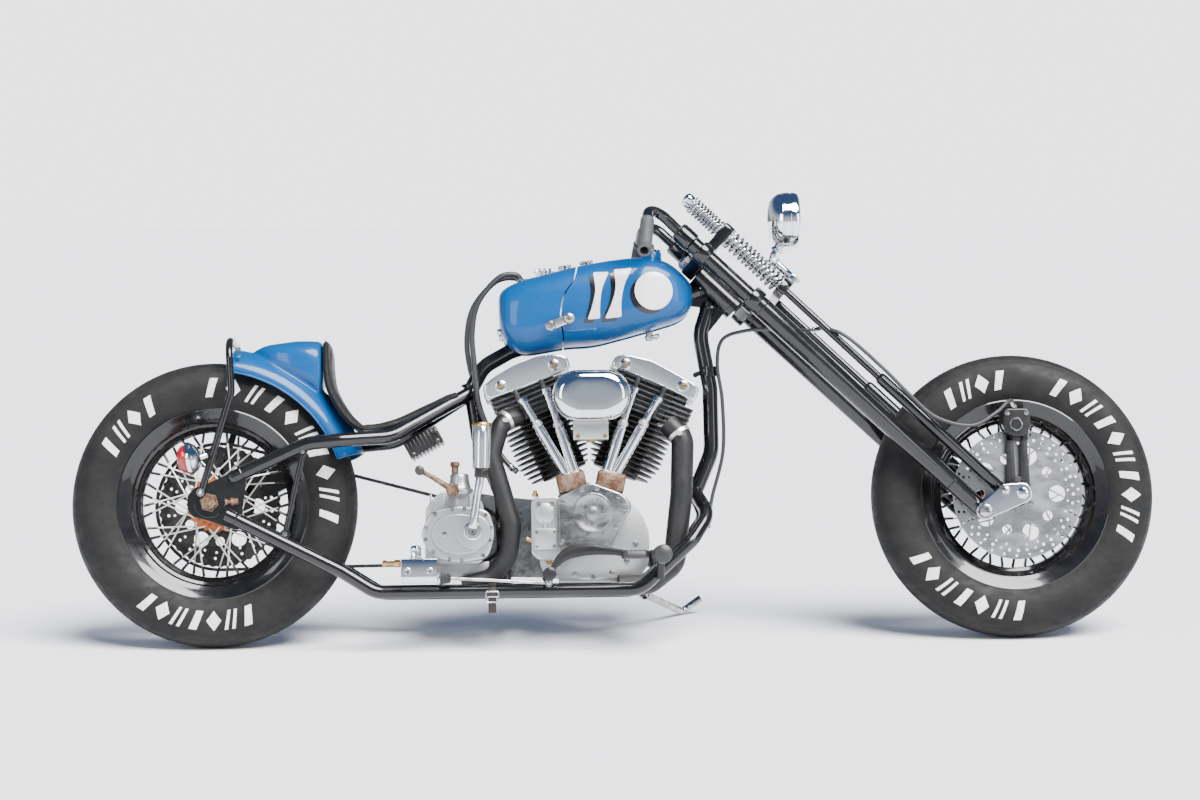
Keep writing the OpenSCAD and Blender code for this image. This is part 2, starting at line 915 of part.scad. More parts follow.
// A hub from y0 to y1 with crossed spokes and, on the side s, the seat of
// its disc at the distance end.
module hub(x, y0, y1, s, end) {
    color("peru") parked() {
        difference() {
            union() {
                across(x, wheel_z, y0, y1, 30);
                across(x, wheel_z, -41, -35, 60);
                across(x, wheel_z, 35, 41, 60);
                across(x, wheel_z, s * end - 4, s * end + 4, 44);
            }
            across(x, wheel_z, y0 - 1, y1 + 1, hub_pin_r + run);
        }
        for (i = [0:spokes - 1]) {
            t = i % 2 == 0 ? 1 : -1;
            lay = floor(i / 2) % 2 == 0 ? 42 : -42;
            a = 360 * i / spokes;
            rod([x + 54 * cos(a - lay), t * 38, wheel_z + 54 * sin(a - lay)],
                [x + (bead_r - 36.5) * cos(a), t * 8,
                    wheel_z + (bead_r - 36.5) * sin(a)], 2.2);
        }
    }
}

module front_tyre() {
    tyre(wheelbase);
}

module front_rim() {
    rim(wheelbase);
}

module front_hub() {
    hub(wheelbase, -73.3, 60, -1, 69.3);
}

module front_disc() {
    color("silver") parked()
        difference() {
            across(wheelbase, wheel_z, -78.5, -73.5, front_disc_d / 2);
            across(wheelbase, wheel_z, -80, -72, 28);
            for (i = [0:4])
                rotate_about(wheelbase, 72 * i)
                    across(wheelbase + 92, wheel_z, -80, -72, 22);
        }
}

module rotate_about(x, a) {
    translate([x, 0, wheel_z])
        rotate([0, a, 0])
            translate([-x, 0, -wheel_z])
                children();
}

module rear_tyre() {
    tyre(0);
}

module rear_rim() {
    rim(0);
}

module rear_hub() {
    hub(0, -70, 87.8, 1, 83.8);
}

module rear_disc() {
    color("dimgray") parked()
        difference() {
            across(0, wheel_z, 88, 94, rear_disc_d / 2 - 1);
            across(0, wheel_z, 86, 96, 28);
            for (i = [0:5])
                rotate_about(0, 60 * i)
                    across(88, wheel_z, 86, 96, 18);
        }
}

// ---- side stand ----

module side_stand() {
    up = unit(stand_axis);
    d = unit(stand_foot - stand_pivot);
    color("silver") parked()
        difference() {
            union() {
                rod(stand_pivot - up * 7, stand_pivot + up * 7, 14);
                tube([stand_pivot + d * 8, stand_foot,
                    stand_foot + [46, 6, 32]], 8.5, 16);
            }
            rod(stand_pivot - up * 20, stand_pivot + up * 20, 6 + run);
        }
}

main_frame();
seat_post();
down_tube();
lower_rail_right();
lower_rail_left();
upper_stays();
axle_plates();
rear_axle();
fender_hoop();
rear_fender();
seat();
fuel_tank();
oil_tank();
tank_fittings();
oil_lines();
crankcase();
cylinders();
rocker_boxes();
pushrod_tubes();
air_cleaner();
carburettor();
primary_cover();
gearbox();
kick_starter();
shift_lever();
exhaust_pipes();
drive_chain();
battery_box();
tail_light();
brake_master_cylinder();
foot_controls();
rear_brake_caliper();
hose_loop();
fork_legs();
fork_front_legs();
fork_springs();
fork_rockers();
front_axle();
handlebar();
grips();
headlight();
front_brake_caliper();
front_hose();
front_tyre();
front_rim();
front_hub();
front_disc();
rear_tyre();
rear_rim();
rear_hub();
rear_disc();
side_stand();
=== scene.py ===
"""Looks of the chopper motorcycle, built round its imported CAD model.

Every piece is drawn on the upright bike in millimetres, with x = 0 at the
rear axle, y = 0 on the centre line (positive to the left) and z = 0 on the
ground. Stance then leans it over and puts it in the model's frame, in metres.
"""

import json
import logging
import math
from dataclasses import dataclass, field
from enum import Enum

import bmesh
import bpy
from mathutils import Matrix, Vector
from mathutils.bvhtree import BVHTree

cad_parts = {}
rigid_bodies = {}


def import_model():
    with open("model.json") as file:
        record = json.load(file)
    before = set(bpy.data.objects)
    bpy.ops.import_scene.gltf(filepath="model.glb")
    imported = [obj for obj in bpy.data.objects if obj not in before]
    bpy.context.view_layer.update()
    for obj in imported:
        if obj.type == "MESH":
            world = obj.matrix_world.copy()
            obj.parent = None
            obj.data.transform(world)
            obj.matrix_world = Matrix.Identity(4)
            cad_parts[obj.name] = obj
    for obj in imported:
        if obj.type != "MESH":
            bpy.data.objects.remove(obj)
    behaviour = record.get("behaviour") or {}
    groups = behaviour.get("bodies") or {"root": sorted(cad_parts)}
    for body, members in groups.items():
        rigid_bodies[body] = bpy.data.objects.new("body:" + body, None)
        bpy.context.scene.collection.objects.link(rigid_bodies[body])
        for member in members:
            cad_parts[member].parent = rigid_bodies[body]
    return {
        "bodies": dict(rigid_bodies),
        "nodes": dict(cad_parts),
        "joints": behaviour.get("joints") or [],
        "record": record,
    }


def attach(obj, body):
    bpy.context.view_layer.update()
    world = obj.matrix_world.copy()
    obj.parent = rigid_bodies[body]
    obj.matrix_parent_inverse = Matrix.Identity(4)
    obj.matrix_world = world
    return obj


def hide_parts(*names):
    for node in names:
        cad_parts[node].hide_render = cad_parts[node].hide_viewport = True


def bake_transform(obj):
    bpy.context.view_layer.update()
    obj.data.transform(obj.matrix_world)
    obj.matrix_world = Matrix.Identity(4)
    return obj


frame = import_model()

LOG = logging.getLogger("chopper")
Point = tuple[float, float, float]
Outline = list[tuple[float, float]]
AXLE_HEIGHT = 330.0


class Body(Enum):
    """The rigid bodies that pieces ride on."""

    FRAME = "frame"
    FORK = "fork"
    FRONT = "front_wheel"
    REAR = "rear_wheel"


class Side(Enum):
    """The two sides of the bike, as the sign of y."""

    LEFT = 1
    RIGHT = -1


@dataclass(frozen=True)
class Stance:
    """Where the upright bike lies in the model's frame."""

    rear: Vector
    wheelbase: float
    lean: float
    steering: Vector

    @classmethod
    def of(cls, model: dict) -> "Stance":
        """Reads the stance from the model's joints.


        Returns:
            The stance that the joints describe.
        """
        joints = {j["name"]: j for j in model["joints"]}
        rear = Vector(joints["rear_wheel_spin"]["pos_m"])
        front = Vector(joints["front_wheel_spin"]["pos_m"])
        axis = joints["rear_wheel_spin"]["axis"]
        return cls(rear, (front - rear).length * 1000,
                   math.atan2(-axis[2], axis[1]),
                   Vector(joints["steering"]["axis"]))

    def matrix(self) -> Matrix:
        """Returns the map from bike millimetres to the model's frame."""
        return (Matrix.Translation(self.rear)
                @ Matrix.Rotation(-self.lean, 4, "X")
                @ Matrix.Scale(0.001, 4)
                @ Matrix.Translation((0, 0, -AXLE_HEIGHT)))

    def back(self, point: Vector) -> Vector:
        """Returns a point of the model's frame on the upright bike."""
        return self.matrix().inverted() @ point


@dataclass(frozen=True)
class ForkLine:
    """The fork's own axes: ahead of the rear legs, left, and up along them."""

    wheelbase: float
    rake: float = math.radians(46.5)
    axle_ahead: float = 88.2
    axle_up: float = -34.8

    def at(self, ahead: float, y: float, up: float) -> Point:
        """Returns the bike point at the given place on the fork."""
        a, u = ahead - self.axle_ahead, up - self.axle_up
        c, s = math.cos(self.rake), math.sin(self.rake)
        return (self.wheelbase + a * c - u * s, y,
                AXLE_HEIGHT + a * s + u * c)

    def up(self) -> Vector:
        """Returns the direction up along the legs."""
        return Vector((-math.sin(self.rake), 0, math.cos(self.rake)))

    def ahead(self) -> Vector:
        """Returns the direction square to the legs, forward and up."""
        return Vector((math.cos(self.rake), 0, math.sin(self.rake)))


# ---- curves -------------------------------------------------------------


def rounded(points: list[Point], bend: float) -> list[Vector]:
    """Rounds the corners of a line of straight runs.

    Args:
        points: The corners and both ends.
        bend: The radius of every bend.

    Returns:
        The points of the rounded line.
    """
    pts = [Vector(p) for p in points]
    line = [pts[0]]
    for a, b, c in zip(pts, pts[1:], pts[2:]):
        u, v = (b - a).normalized(), (c - b).normalized()
        turn = u.angle(v)
        if turn < 0.02:
            line.append(b)
            continue
        inward = (v - u * u.dot(v)).normalized()
        back = bend * math.tan(turn / 2)
        steps = max(3, math.ceil(math.degrees(turn) / 6))
        for k in range(steps + 1):
            t = turn * k / steps
            line.append(b - u * back + u * bend * math.sin(t)
                        + inward * bend * (1 - math.cos(t)))
    return line + [pts[-1]]


def flowing(points: list[Point], steps: int = 8) -> list[Vector]:
    """Returns a smooth curve through the points, with steps to a span."""
    p = [Vector(q) for q in points]
    line = []
    for i in range(len(p) - 1):
        a, b = p[max(0, i - 1)], p[i]
        c, d = p[i + 1], p[min(len(p) - 1, i + 2)]
        for k in range(steps):
            t = k / steps
            line.append(0.5 * (2 * b + (c - a) * t
                               + (2 * a - 5 * b + 4 * c - d) * t * t
                               + (3 * b - a - 3 * c + d) * t ** 3))
    return line + [p[-1]]


def arc(cx: float, cz: float, r: float, start: float, end: float,
        steps: int = 12) -> Outline:
    """Returns points on an arc, angles in degrees from +x towards +z."""
    return [(cx + r * math.cos(math.radians(start + (end - start) * k / steps)),
             cz + r * math.sin(math.radians(start + (end - start) * k / steps)))
            for k in range(steps + 1)]


def disc_outline(cx: float, cz: float, r: float, steps: int = 48) -> Outline:
    """Returns a closed circle as an outline."""
    return arc(cx, cz, r, 0, 360 - 360 / steps, steps - 1)


def softened(outline: Outline, r: float, steps: int = 5) -> Outline:
    """Returns a closed outline with its corners rounded to about r."""
    out: Outline = []
    n = len(outline)
    for i in range(n):
        a, b, c = (Vector(outline[(i + k) % n]) for k in (-1, 0, 1))
        reach = min(r, (a - b).length * 0.45, (c - b).length * 0.45)
        p, q = b + (a - b).normalized() * reach, b + (c - b).normalized() * reach
        for k in range(steps + 1):
            t = k / steps
            s = p * (1 - t) ** 2 + b * 2 * t * (1 - t) + q * t * t
            out.append((s.x, s.y))
    return out


# ---- mesh making --------------------------------------------------------


class Solid:
    """A mesh under construction, in bike millimetres."""

    def __init__(self) -> None:
        """Starts an empty mesh."""
        self.bm = bmesh.new()

    def skin(self, rings: list[list[Vector]], cap: bool = True,
             loop: bool = False) -> "Solid":
        """Joins rings of equal length into a surface.

        Args:
            rings: The rings, each a list of points.
            cap: Whether the two end rings are filled.
            loop: Whether the last ring joins the first.

        Returns:
            This solid.
        """
        grid = [[self.bm.verts.new(p) for p in ring] for ring in rings]
        m = len(grid[0])
        pairs = list(zip(grid, grid[1:])) + ([(grid[-1], grid[0])] if loop else [])
        for a, b in pairs:
            for j in range(m):
                k = (j + 1) % m
                self.bm.faces.new((a[j], a[k], b[k], b[j]))
        if cap and not loop:
            self.bm.faces.new(list(reversed(grid[0])))
            self.bm.faces.new(grid[-1])
        return self

    def sweep(self, line: list[Vector], r: float | list[float],
              sides: int = 24, cap: bool = True) -> "Solid":
        """Draws a round section along a line without twisting it."""
        rs = r if isinstance(r, list) else [r] * len(line)
        side = Vector((0.06, 0.08, 1))
        rings = []
        for i, p in enumerate(line):
            d = (line[min(i + 1, len(line) - 1)] - line[max(i - 1, 0)]).normalized()
            side = (side - d * side.dot(d)).normalized()
            other = d.cross(side)
            rings.append([p + rs[i] * (side * math.cos(t) + other * math.sin(t))
                          for t in (math.tau * k / sides for k in range(sides))])
        return self.skin(rings, cap)

    def tube(self, points: list[Point], r: float, bend: float,
             sides: int = 28) -> "Solid":
        """Draws a bent tube through the points."""
        return self.sweep(rounded(points, bend), r, sides)

    def hose(self, points: list[Point], r: float, sides: int = 16) -> "Solid":
        """Draws a smooth hose through the points."""
        return self.sweep(flowing(points), r, sides)

    def turned(self, start: Point, axis: Point | Vector,
               profile: Outline, sides: int = 48) -> "Solid":
        """Draws a lathed shape.

        Args:
            start: The point on the axis that the profile starts from.
            axis: The direction of the axis.
            profile: Pairs of distance along the axis and radius.
            sides: How many sides the rings have.

        Returns:
            This solid.
        """
        d = Vector(axis).normalized()
        side = d.orthogonal().normalized()
        other = d.cross(side)
        o = Vector(start)
        rings = [[o + d * a + max(r, 0.01) * (side * math.cos(t) + other * math.sin(t))
                  for t in (math.tau * k / sides for k in range(sides))]
                 for a, r in profile]
        return self.skin(rings)

    def rod(self, p: Point, q: Point, r: float, r2: float | None = None,
            edge: float = 1.0, sides: int = 32) -> "Solid":
        """Draws a straight rod with small chamfers at its ends."""
        d = Vector(q) - Vector(p)
        h = d.length
        e = min(edge, h * 0.3, r * 0.4)
        s = r if r2 is None else r2
        return self.turned(p, d, [(0, r - e), (e, r), (h - e, s), (h, s - e)],
                           sides)

    def across(self, x: float, z: float, y0: float, y1: float, r: float,
               edge: float = 1.0, sides: int = 48) -> "Solid":
        """Draws a rod square across the bike."""
        return self.rod((x, y0, z), (x, y1, z), r, edge=edge, sides=sides)

    def box(self, centre: Point, size: Point, turn: Point = (0, 0, 0)) -> "Solid":
        """Draws a box, turned about its own axes by degrees."""
        spin = (Matrix.Rotation(math.radians(turn[2]), 4, "Z")
                @ Matrix.Rotation(math.radians(turn[1]), 4, "Y")
                @ Matrix.Rotation(math.radians(turn[0]), 4, "X"))
        bmesh.ops.create_cube(self.bm, size=1, matrix=Matrix.Translation(centre)
                              @ spin @ Matrix.Diagonal((*size, 1)))
        return self

    def slab(self, outline: Outline, y0: float, y1: float) -> "Solid":
        """Draws a flat plate of an outline in x and z, from y0 to y1."""
        return self.skin([[Vector((x, y, z)) for x, z in outline]
                          for y in (y0, y1)])

    def crowned(self, outline: Outline, y0: float, y1: float,
                rise: float, steps: int = 4) -> "Solid":
        """Draws a plate whose far face is domed towards its middle."""
        cx = sum(p[0] for p in outline) / len(outline)
        cz = sum(p[1] for p in outline) / len(outline)
        sign = 1 if y1 > y0 else -1
        rings = [[Vector((x, y0, z)) for x, z in outline]]
        for k in range(steps + 1):
            t = math.pi / 2 * k / steps
            f = 1 - (1 - math.cos(t)) * min(0.9, rise * 2.2 / 60)
            rings.append([Vector((cx + (x - cx) * f,
                                  y1 + sign * rise * (math.sin(t) - 1),
                                  cz + (z - cz) * f)) for x, z in outline])
        return self.skin(rings)

    def nut(self, p: Point | Vector, axis: Point | Vector, r: float,
            h: float) -> "Solid":
        """Draws a washer with a six-sided head on it."""
        self.turned(p, axis, [(0, r * 1.25), (h * 0.2, r * 1.25)], 20)
        d = Vector(axis).normalized()
        foot = Vector(p) + d * h * 0.2
        self.turned(foot, d, [(0, r), (h * 0.6, r), (h * 0.8, r * 0.8)], 6)
        return self

    def acorn(self, p: Point | Vector, axis: Point | Vector,
              r: float) -> "Solid":
        """Draws a washer with a domed nut on it."""
        d = Vector(axis).normalized()
        self.turned(p, axis, [(0, r * 1.3), (r * 0.25, r * 1.3)], 20)
        self.turned(Vector(p) + d * r * 0.25, d,
                    [(0, r), (r * 0.7, r), (r * 0.9, r * 0.85)], 6)
        return self.turned(Vector(p) + d * r * 0.9, d,
                           [(0, r * 0.82), (r * 0.4, r * 0.72),
                            (r * 0.7, r * 0.45), (r * 0.82, 0.1)], 20)

    def weld(self, p: Point, axis: Point | Vector, r: float,
             bead: float = 2.6) -> "Solid":
        """Draws a weld bead as a ring round a tube."""
        d = Vector(axis).normalized()
        side = d.orthogonal().normalized()
        other = d.cross(side)
        n = 40
        ring = []
        for k in range(n):
            t = math.tau * k / n
            ray = side * math.cos(t) + other * math.sin(t)
            swell = bead * (1 + 0.18 * math.sin(11 * t))
            ring.append([Vector(p) + ray * (r + swell * math.cos(u))
                         + d * swell * math.sin(u)
                         for u in (math.tau * j / 8 for j in range(8))])
        return self.skin(ring, cap=False, loop=True)

    def punched(self, rim: Outline, holes: list[Outline], y0: float,
                y1: float, edge: float = 0.4) -> "Solid":
        """Draws a flat plate with holes through it.

        Args:
            rim: The outer outline in x and z.
            holes: The outlines of the holes.
            y0: The plate's near face.
            y1: The plate's far face.
            edge: The size of the small bevel on every edge.

        Returns:
            This solid.
        """
        data = bpy.data.curves.new("punched", "CURVE")
        data.dimensions = "2D"
        data.fill_mode = "BOTH"
        data.extrude = abs(y1 - y0) / 2 - edge
        data.bevel_depth = edge
        data.bevel_resolution = 0
        data.offset = -edge
        for loop in [rim, *holes]:
            s = data.splines.new("POLY")
            s.points.add(len(loop) - 1)
            for q, (x, z) in zip(s.points, loop):
                q.co = (x, z, 0, 1)
            s.use_cyclic_u = True
        o = bpy.data.objects.new("punched", data)
        bpy.context.scene.collection.objects.link(o)
        bpy.context.view_layer.update()
        mesh = o.evaluated_get(bpy.context.evaluated_depsgraph_get()).to_mesh()
        mesh.transform(Matrix(((1, 0, 0, 0), (0, 0, -1, (y0 + y1) / 2),
                               (0, 1, 0, 0), (0, 0, 0, 1))))
        self.bm.from_mesh(mesh)
        bpy.data.objects.remove(o)
        bpy.data.curves.remove(data)
        return self

    def revolved(self, x: float, section: Outline,
                 sides: int = 96) -> "Solid":
        """Turns a closed section of (radius, y) round the axle at x."""
        rings = []
        for k in range(sides):
            t = math.tau * k / sides
            rings.append([Vector((x + r * math.cos(t), y,
                                  AXLE_HEIGHT + r * math.sin(t)))
                          for r, y in section])
        return self.skin(rings, cap=False, loop=True)

    def extruded(self, outline: Outline, low: float, high: float,
                 matrix: Matrix) -> "Solid":
        """Draws a plate of an outline in matrix's x and y, along its z."""
        return self.skin([[matrix @ Vector((a, b, h)) for a, b in outline]
                          for h in (low, high)])

    def moved(self, matrix: Matrix) -> "Solid":
        """Moves everything drawn so far."""
        bmesh.ops.transform(self.bm, matrix=matrix, verts=self.bm.verts)
        return self

    def add(self, other: "Solid", matrix: Matrix | None = None) -> "Solid":
        """Adds a copy of another solid, moved by matrix."""
        mesh = bpy.data.meshes.new("part")
        other.bm.to_mesh(mesh)
        if matrix is not None:
            mesh.transform(matrix)
        self.bm.from_mesh(mesh)
        bpy.data.meshes.remove(mesh)
        return self


@dataclass
class Shop:
    """Turns solids into pieces: places, smooths, dresses and mounts them."""

    stance: Stance
    made: list[str] = field(default_factory=list)

    def piece(self, name: str, solid: Solid, finish: "Finish",
              body: Body | None,
              replaces: tuple[str, ...] = (), edge: float = 0.0,
              subdivide: int = 0, smooth: float = 38,
              weld_verts: bool = True) -> bpy.types.Object:
        """Makes an object of a solid.

        Args:
            name: The object's name.
            solid: The mesh, in bike millimetres.
            finish: What it is made of.
            body: The body it rides on, or None to leave it on no body.
            replaces: The CAD nodes it stands for.
            edge: The width of its bevelled edges in millimetres.
            subdivide: How many levels of subdivision it gets.
            smooth: The angle in degrees above which an edge stays sharp.
            weld_verts: Whether points in one place are merged.

        Returns:
            The finished object.
        """
        if weld_verts:
            bmesh.ops.remove_doubles(solid.bm, verts=solid.bm.verts, dist=0.02)
        bmesh.ops.recalc_face_normals(solid.bm, faces=solid.bm.faces)
        mesh = bpy.data.meshes.new(name)
        solid.bm.to_mesh(mesh)
        solid.bm.free()
        mesh.transform(self.stance.matrix())
        o = bpy.data.objects.new(name, mesh)
        bpy.context.scene.collection.objects.link(o)
        if edge:
            m = o.modifiers.new("edges", "BEVEL")
            m.width = edge / 1000
            m.segments = 2
            m.limit_method = "ANGLE"
            m.angle_limit = math.radians(38)
            m.use_clamp_overlap = True
        if subdivide:
            m = o.modifiers.new("rounding", "SUBSURF")
            m.levels = m.render_levels = subdivide
        self.settle(o)
        o.data.shade_smooth()
        o.data.set_sharp_from_angle(angle=math.radians(smooth))
        self.dress(o, finish, body)
        if replaces:
            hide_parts(*replaces)
        return o

    def settle(self, o: bpy.types.Object) -> None:
        """Applies an object's modifiers to its mesh."""
        if not o.modifiers:
            return
        graph = bpy.context.evaluated_depsgraph_get()
        mesh = bpy.data.meshes.new_from_object(o.evaluated_get(graph))
        old = o.data
        o.modifiers.clear()
        o.data = mesh
        bpy.data.meshes.remove(old)

    def discard(self, o: bpy.types.Object) -> None:
        """Takes away an object that was only a cutting tool."""
        self.made.remove(o.name)
        bpy.data.objects.remove(o)

    def dress(self, o: bpy.types.Object, finish: "Finish",
              body: Body | None) -> None:
        """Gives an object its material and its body."""
        o.data.materials.clear()
        o.data.materials.append(finish.material())
        if body:
            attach(o, body.value)
        self.made.append(o.name)
        LOG.info("%s in %s on %s", o.name, finish.name,
                 body.value if body else "two bodies")

    def keep(self, node: str, finish: "Finish") -> None:
        """Shows a CAD node as it is, smooth and in a finish."""
        o = frame["nodes"][node]
        o.data.shade_smooth()
        o.data.set_sharp_from_angle(angle=math.radians(32))
        o.data.materials.clear()
        o.data.materials.append(finish.material())
        LOG.info("%s keeps its shape, in %s", node, finish.name)


# ---- shader groups ------------------------------------------------------


class Tree:
    """A node tree being wired."""

    def __init__(self, tree: bpy.types.NodeTree) -> None:
        """Empties the tree."""
        self.tree = tree
        tree.nodes.clear()

    def node(self, kind: str, values: dict | None = None,
             **settings: object) -> bpy.types.Node:
        """Adds a node.

        Args:
            kind: The node's type name without its prefix.
            values: Values or sockets by input name or number.
            settings: Properties of the node.

        Returns:
            The new node.
        """
        n = self.tree.nodes.new("ShaderNode" + kind)
        for key, value in settings.items():
            setattr(n, key, value)
        for key, value in (values or {}).items():
            if isinstance(value, bpy.types.NodeSocket):
                self.tree.links.new(value, n.inputs[key])
            else:
                n.inputs[key].default_value = value
        return n

    def math(self, how: str, a: object, b: object = 0.0,
             clamp: bool = False) -> bpy.types.NodeSocket:
        """Returns the result of a math node."""
        return self.node("Math", {0: a, 1: b}, operation=how,
                         use_clamp=clamp).outputs[0]

    def blend(self, share: object, a: object, b: object) -> bpy.types.NodeSocket:
        """Returns a colour mixed from a and b."""
        return self.node("Mix", {0: share, 6: a, 7: b},
                         data_type="RGBA").outputs[2]

    def spread(self, value: object, low: float, high: float, to_low: object,
               to_high: object) -> bpy.types.NodeSocket:
        """Returns value mapped smoothly from one range to another."""
        return self.node("MapRange", {0: value, 1: low, 2: high, 3: to_low,
                                      4: to_high},
                         interpolation_type="SMOOTHSTEP").outputs[0]


class Effects:
    """The surface effects that the finishes share, each built once."""

    _made: dict[str, bpy.types.NodeTree] = {}

    @classmethod
    def get(cls, name: str) -> bpy.types.NodeTree:
        """Returns the node group of that name, building it if needed."""
        if name not in cls._made:
            cls._made[name] = getattr(cls, "_" + name)()
        return cls._made[name]

    @staticmethod
    def _group(name: str, inputs: dict[str, str],
               outputs: dict[str, str]) -> tuple[Tree, dict, dict]:
        """Makes an empty node group.

        Args:
            name: The group's name.
            inputs: Socket kinds by input name.
            outputs: Socket kinds by output name.

        Returns:
            The tree, its input sockets and its output sockets.
        """
        g = bpy.data.node_groups.new(name, "ShaderNodeTree")
        for way, sockets in (("INPUT", inputs), ("OUTPUT", outputs)):
            for label, kind in sockets.items():
                g.interface.new_socket(label, in_out=way,
                                       socket_type="NodeSocket" + kind)
        t = Tree(g)
        ends = g.nodes.new("NodeGroupInput"), g.nodes.new("NodeGroupOutput")
        return (t, {k: ends[0].outputs[k] for k in inputs},
                {k: ends[1].inputs[k] for k in outputs})

    @classmethod
    def _mottle(cls) -> bpy.types.NodeTree:
        """Colour that drifts in patches, with finer specks on top."""
        t, i, o = cls._group(
            "mottle", {"Colour": "Color", "Stain": "Color", "Scale": "Float",
                       "Amount": "Float"},
            {"Colour": "Color", "Mask": "Float"})
        at = t.node("TexCoord").outputs["Object"]
        broad = t.node("TexNoise", {"Vector": at, "Scale": i["Scale"],
                                    "Detail": 6.0, "Roughness": 0.62})
        fine = t.node("TexNoise", {
            "Vector": at, "Scale": t.math("MULTIPLY", i["Scale"], 9.0),
            "Detail": 4.0, "Roughness": 0.7})
        both = t.math("ADD", t.math("MULTIPLY", broad.outputs[0], 0.7),
                      t.math("MULTIPLY", fine.outputs[0], 0.3))
        mask = t.math("MULTIPLY", t.spread(both, 0.45, 0.56, 0.0, 1.0),
                      i["Amount"], True)
        t.tree.links.new(t.blend(mask, i["Colour"], i["Stain"]), o["Colour"])
        t.tree.links.new(mask, o["Mask"])
        return t.tree

    @classmethod
    def _handled(cls) -> bpy.types.NodeTree:
        """Roughness that wanders between two values, with faint smears."""
        t, i, o = cls._group(
            "handled", {"Low": "Float", "High": "Float", "Scale": "Float"},
            {"Roughness": "Float"})
        at = t.node("TexCoord").outputs["Object"]
        smear = t.node("Mapping", {"Vector": at, "Scale": (1.0, 0.35, 2.2)})
        n = t.node("TexNoise", {"Vector": smear.outputs[0],
                                "Scale": i["Scale"], "Detail": 7.0,
                                "Roughness": 0.6, "Distortion": 0.6})
        t.tree.links.new(t.spread(n.outputs[0], 0.34, 0.68, i["Low"],
                                  i["High"]), o["Roughness"])
        return t.tree

    @classmethod
    def _grain(cls) -> bpy.types.NodeTree:
        """Fine relief, as of a cast or moulded surface."""
        t, i, o = cls._group("grain", {"Scale": "Float", "Depth": "Float"},
                             {"Height": "Float"})
        at = t.node("TexCoord").outputs["Object"]
        n = t.node("TexNoise", {"Vector": at, "Scale": i["Scale"],
                                "Detail": 5.0, "Roughness": 0.65})
        v = t.node("TexVoronoi", {"Vector": at, "Scale": i["Scale"]},
                   feature="SMOOTH_F1")
        mix = t.math("ADD", n.outputs[0], t.math("MULTIPLY", v.outputs[0], 0.5))
        t.tree.links.new(t.math("MULTIPLY", mix, i["Depth"]), o["Height"])
        return t.tree

    @classmethod
    def _dust(cls) -> bpy.types.NodeTree:
        """Dust that has settled on what faces up."""
        t, i, o = cls._group("dust", {"Amount": "Float"}, {"Mask": "Float"})
        up = t.node("SeparateXYZ", {
            0: t.node("NewGeometry").outputs["Normal"]}).outputs[2]
        n = t.node("TexNoise", {
            "Vector": t.node("TexCoord").outputs["Object"], "Scale": 22.0,
            "Detail": 8.0, "Roughness": 0.7}).outputs[0]
        lying = t.math("MULTIPLY", t.spread(up, -0.1, 1.0, 0.15, 1.0),
                       t.spread(n, 0.38, 0.7, 0.2, 1.0))
        t.tree.links.new(t.math("MULTIPLY", lying, i["Amount"], True),
                         o["Mask"])
        return t.tree

    @classmethod
    def _hide(cls) -> bpy.types.NodeTree:
        """The pebbled relief of tanned leather, with long soft creases."""
        t, i, o = cls._group("hide", {"Scale": "Float"}, {"Height": "Float"})
        at = t.node("TexCoord").outputs["Object"]
        cells = t.node("TexVoronoi", {"Vector": at, "Scale": i["Scale"],
                                      "Randomness": 0.9},
                       feature="DISTANCE_TO_EDGE").outputs[0]
        folds = t.node("TexNoise", {"Vector": at, "Scale": 18.0,
                                    "Detail": 4.0, "Distortion": 1.4}).outputs[0]
        t.tree.links.new(
            t.math("ADD", t.spread(cells, 0.0, 0.35, 0.0, 0.6),
                   t.math("MULTIPLY", folds, 0.9)), o["Height"])
        return t.tree

    @classmethod
    def _brushing(cls) -> bpy.types.NodeTree:
        """Fine rings or lines left by turning and grinding."""
        t, i, o = cls._group("brushing", {"Scale": "Float"},
                             {"Height": "Float", "Mask": "Float"})
        at = t.node("TexCoord").outputs["Object"]
        long = t.node("Mapping", {"Vector": at, "Scale": (0.06, 1.0, 1.0)})
        n = t.node("TexNoise", {"Vector": long.outputs[0], "Scale": i["Scale"],
                                "Detail": 3.0}).outputs[0]
        t.tree.links.new(n, o["Height"])
        t.tree.links.new(t.spread(n, 0.35, 0.65, 0.0, 1.0), o["Mask"])
        return t.tree


# ---- finishes -----------------------------------------------------------


class Relief(Enum):
    """What the fine surface of a finish is like."""

    GRAIN = "grain"
    HIDE = "hide"
    BRUSHING = "brushing"


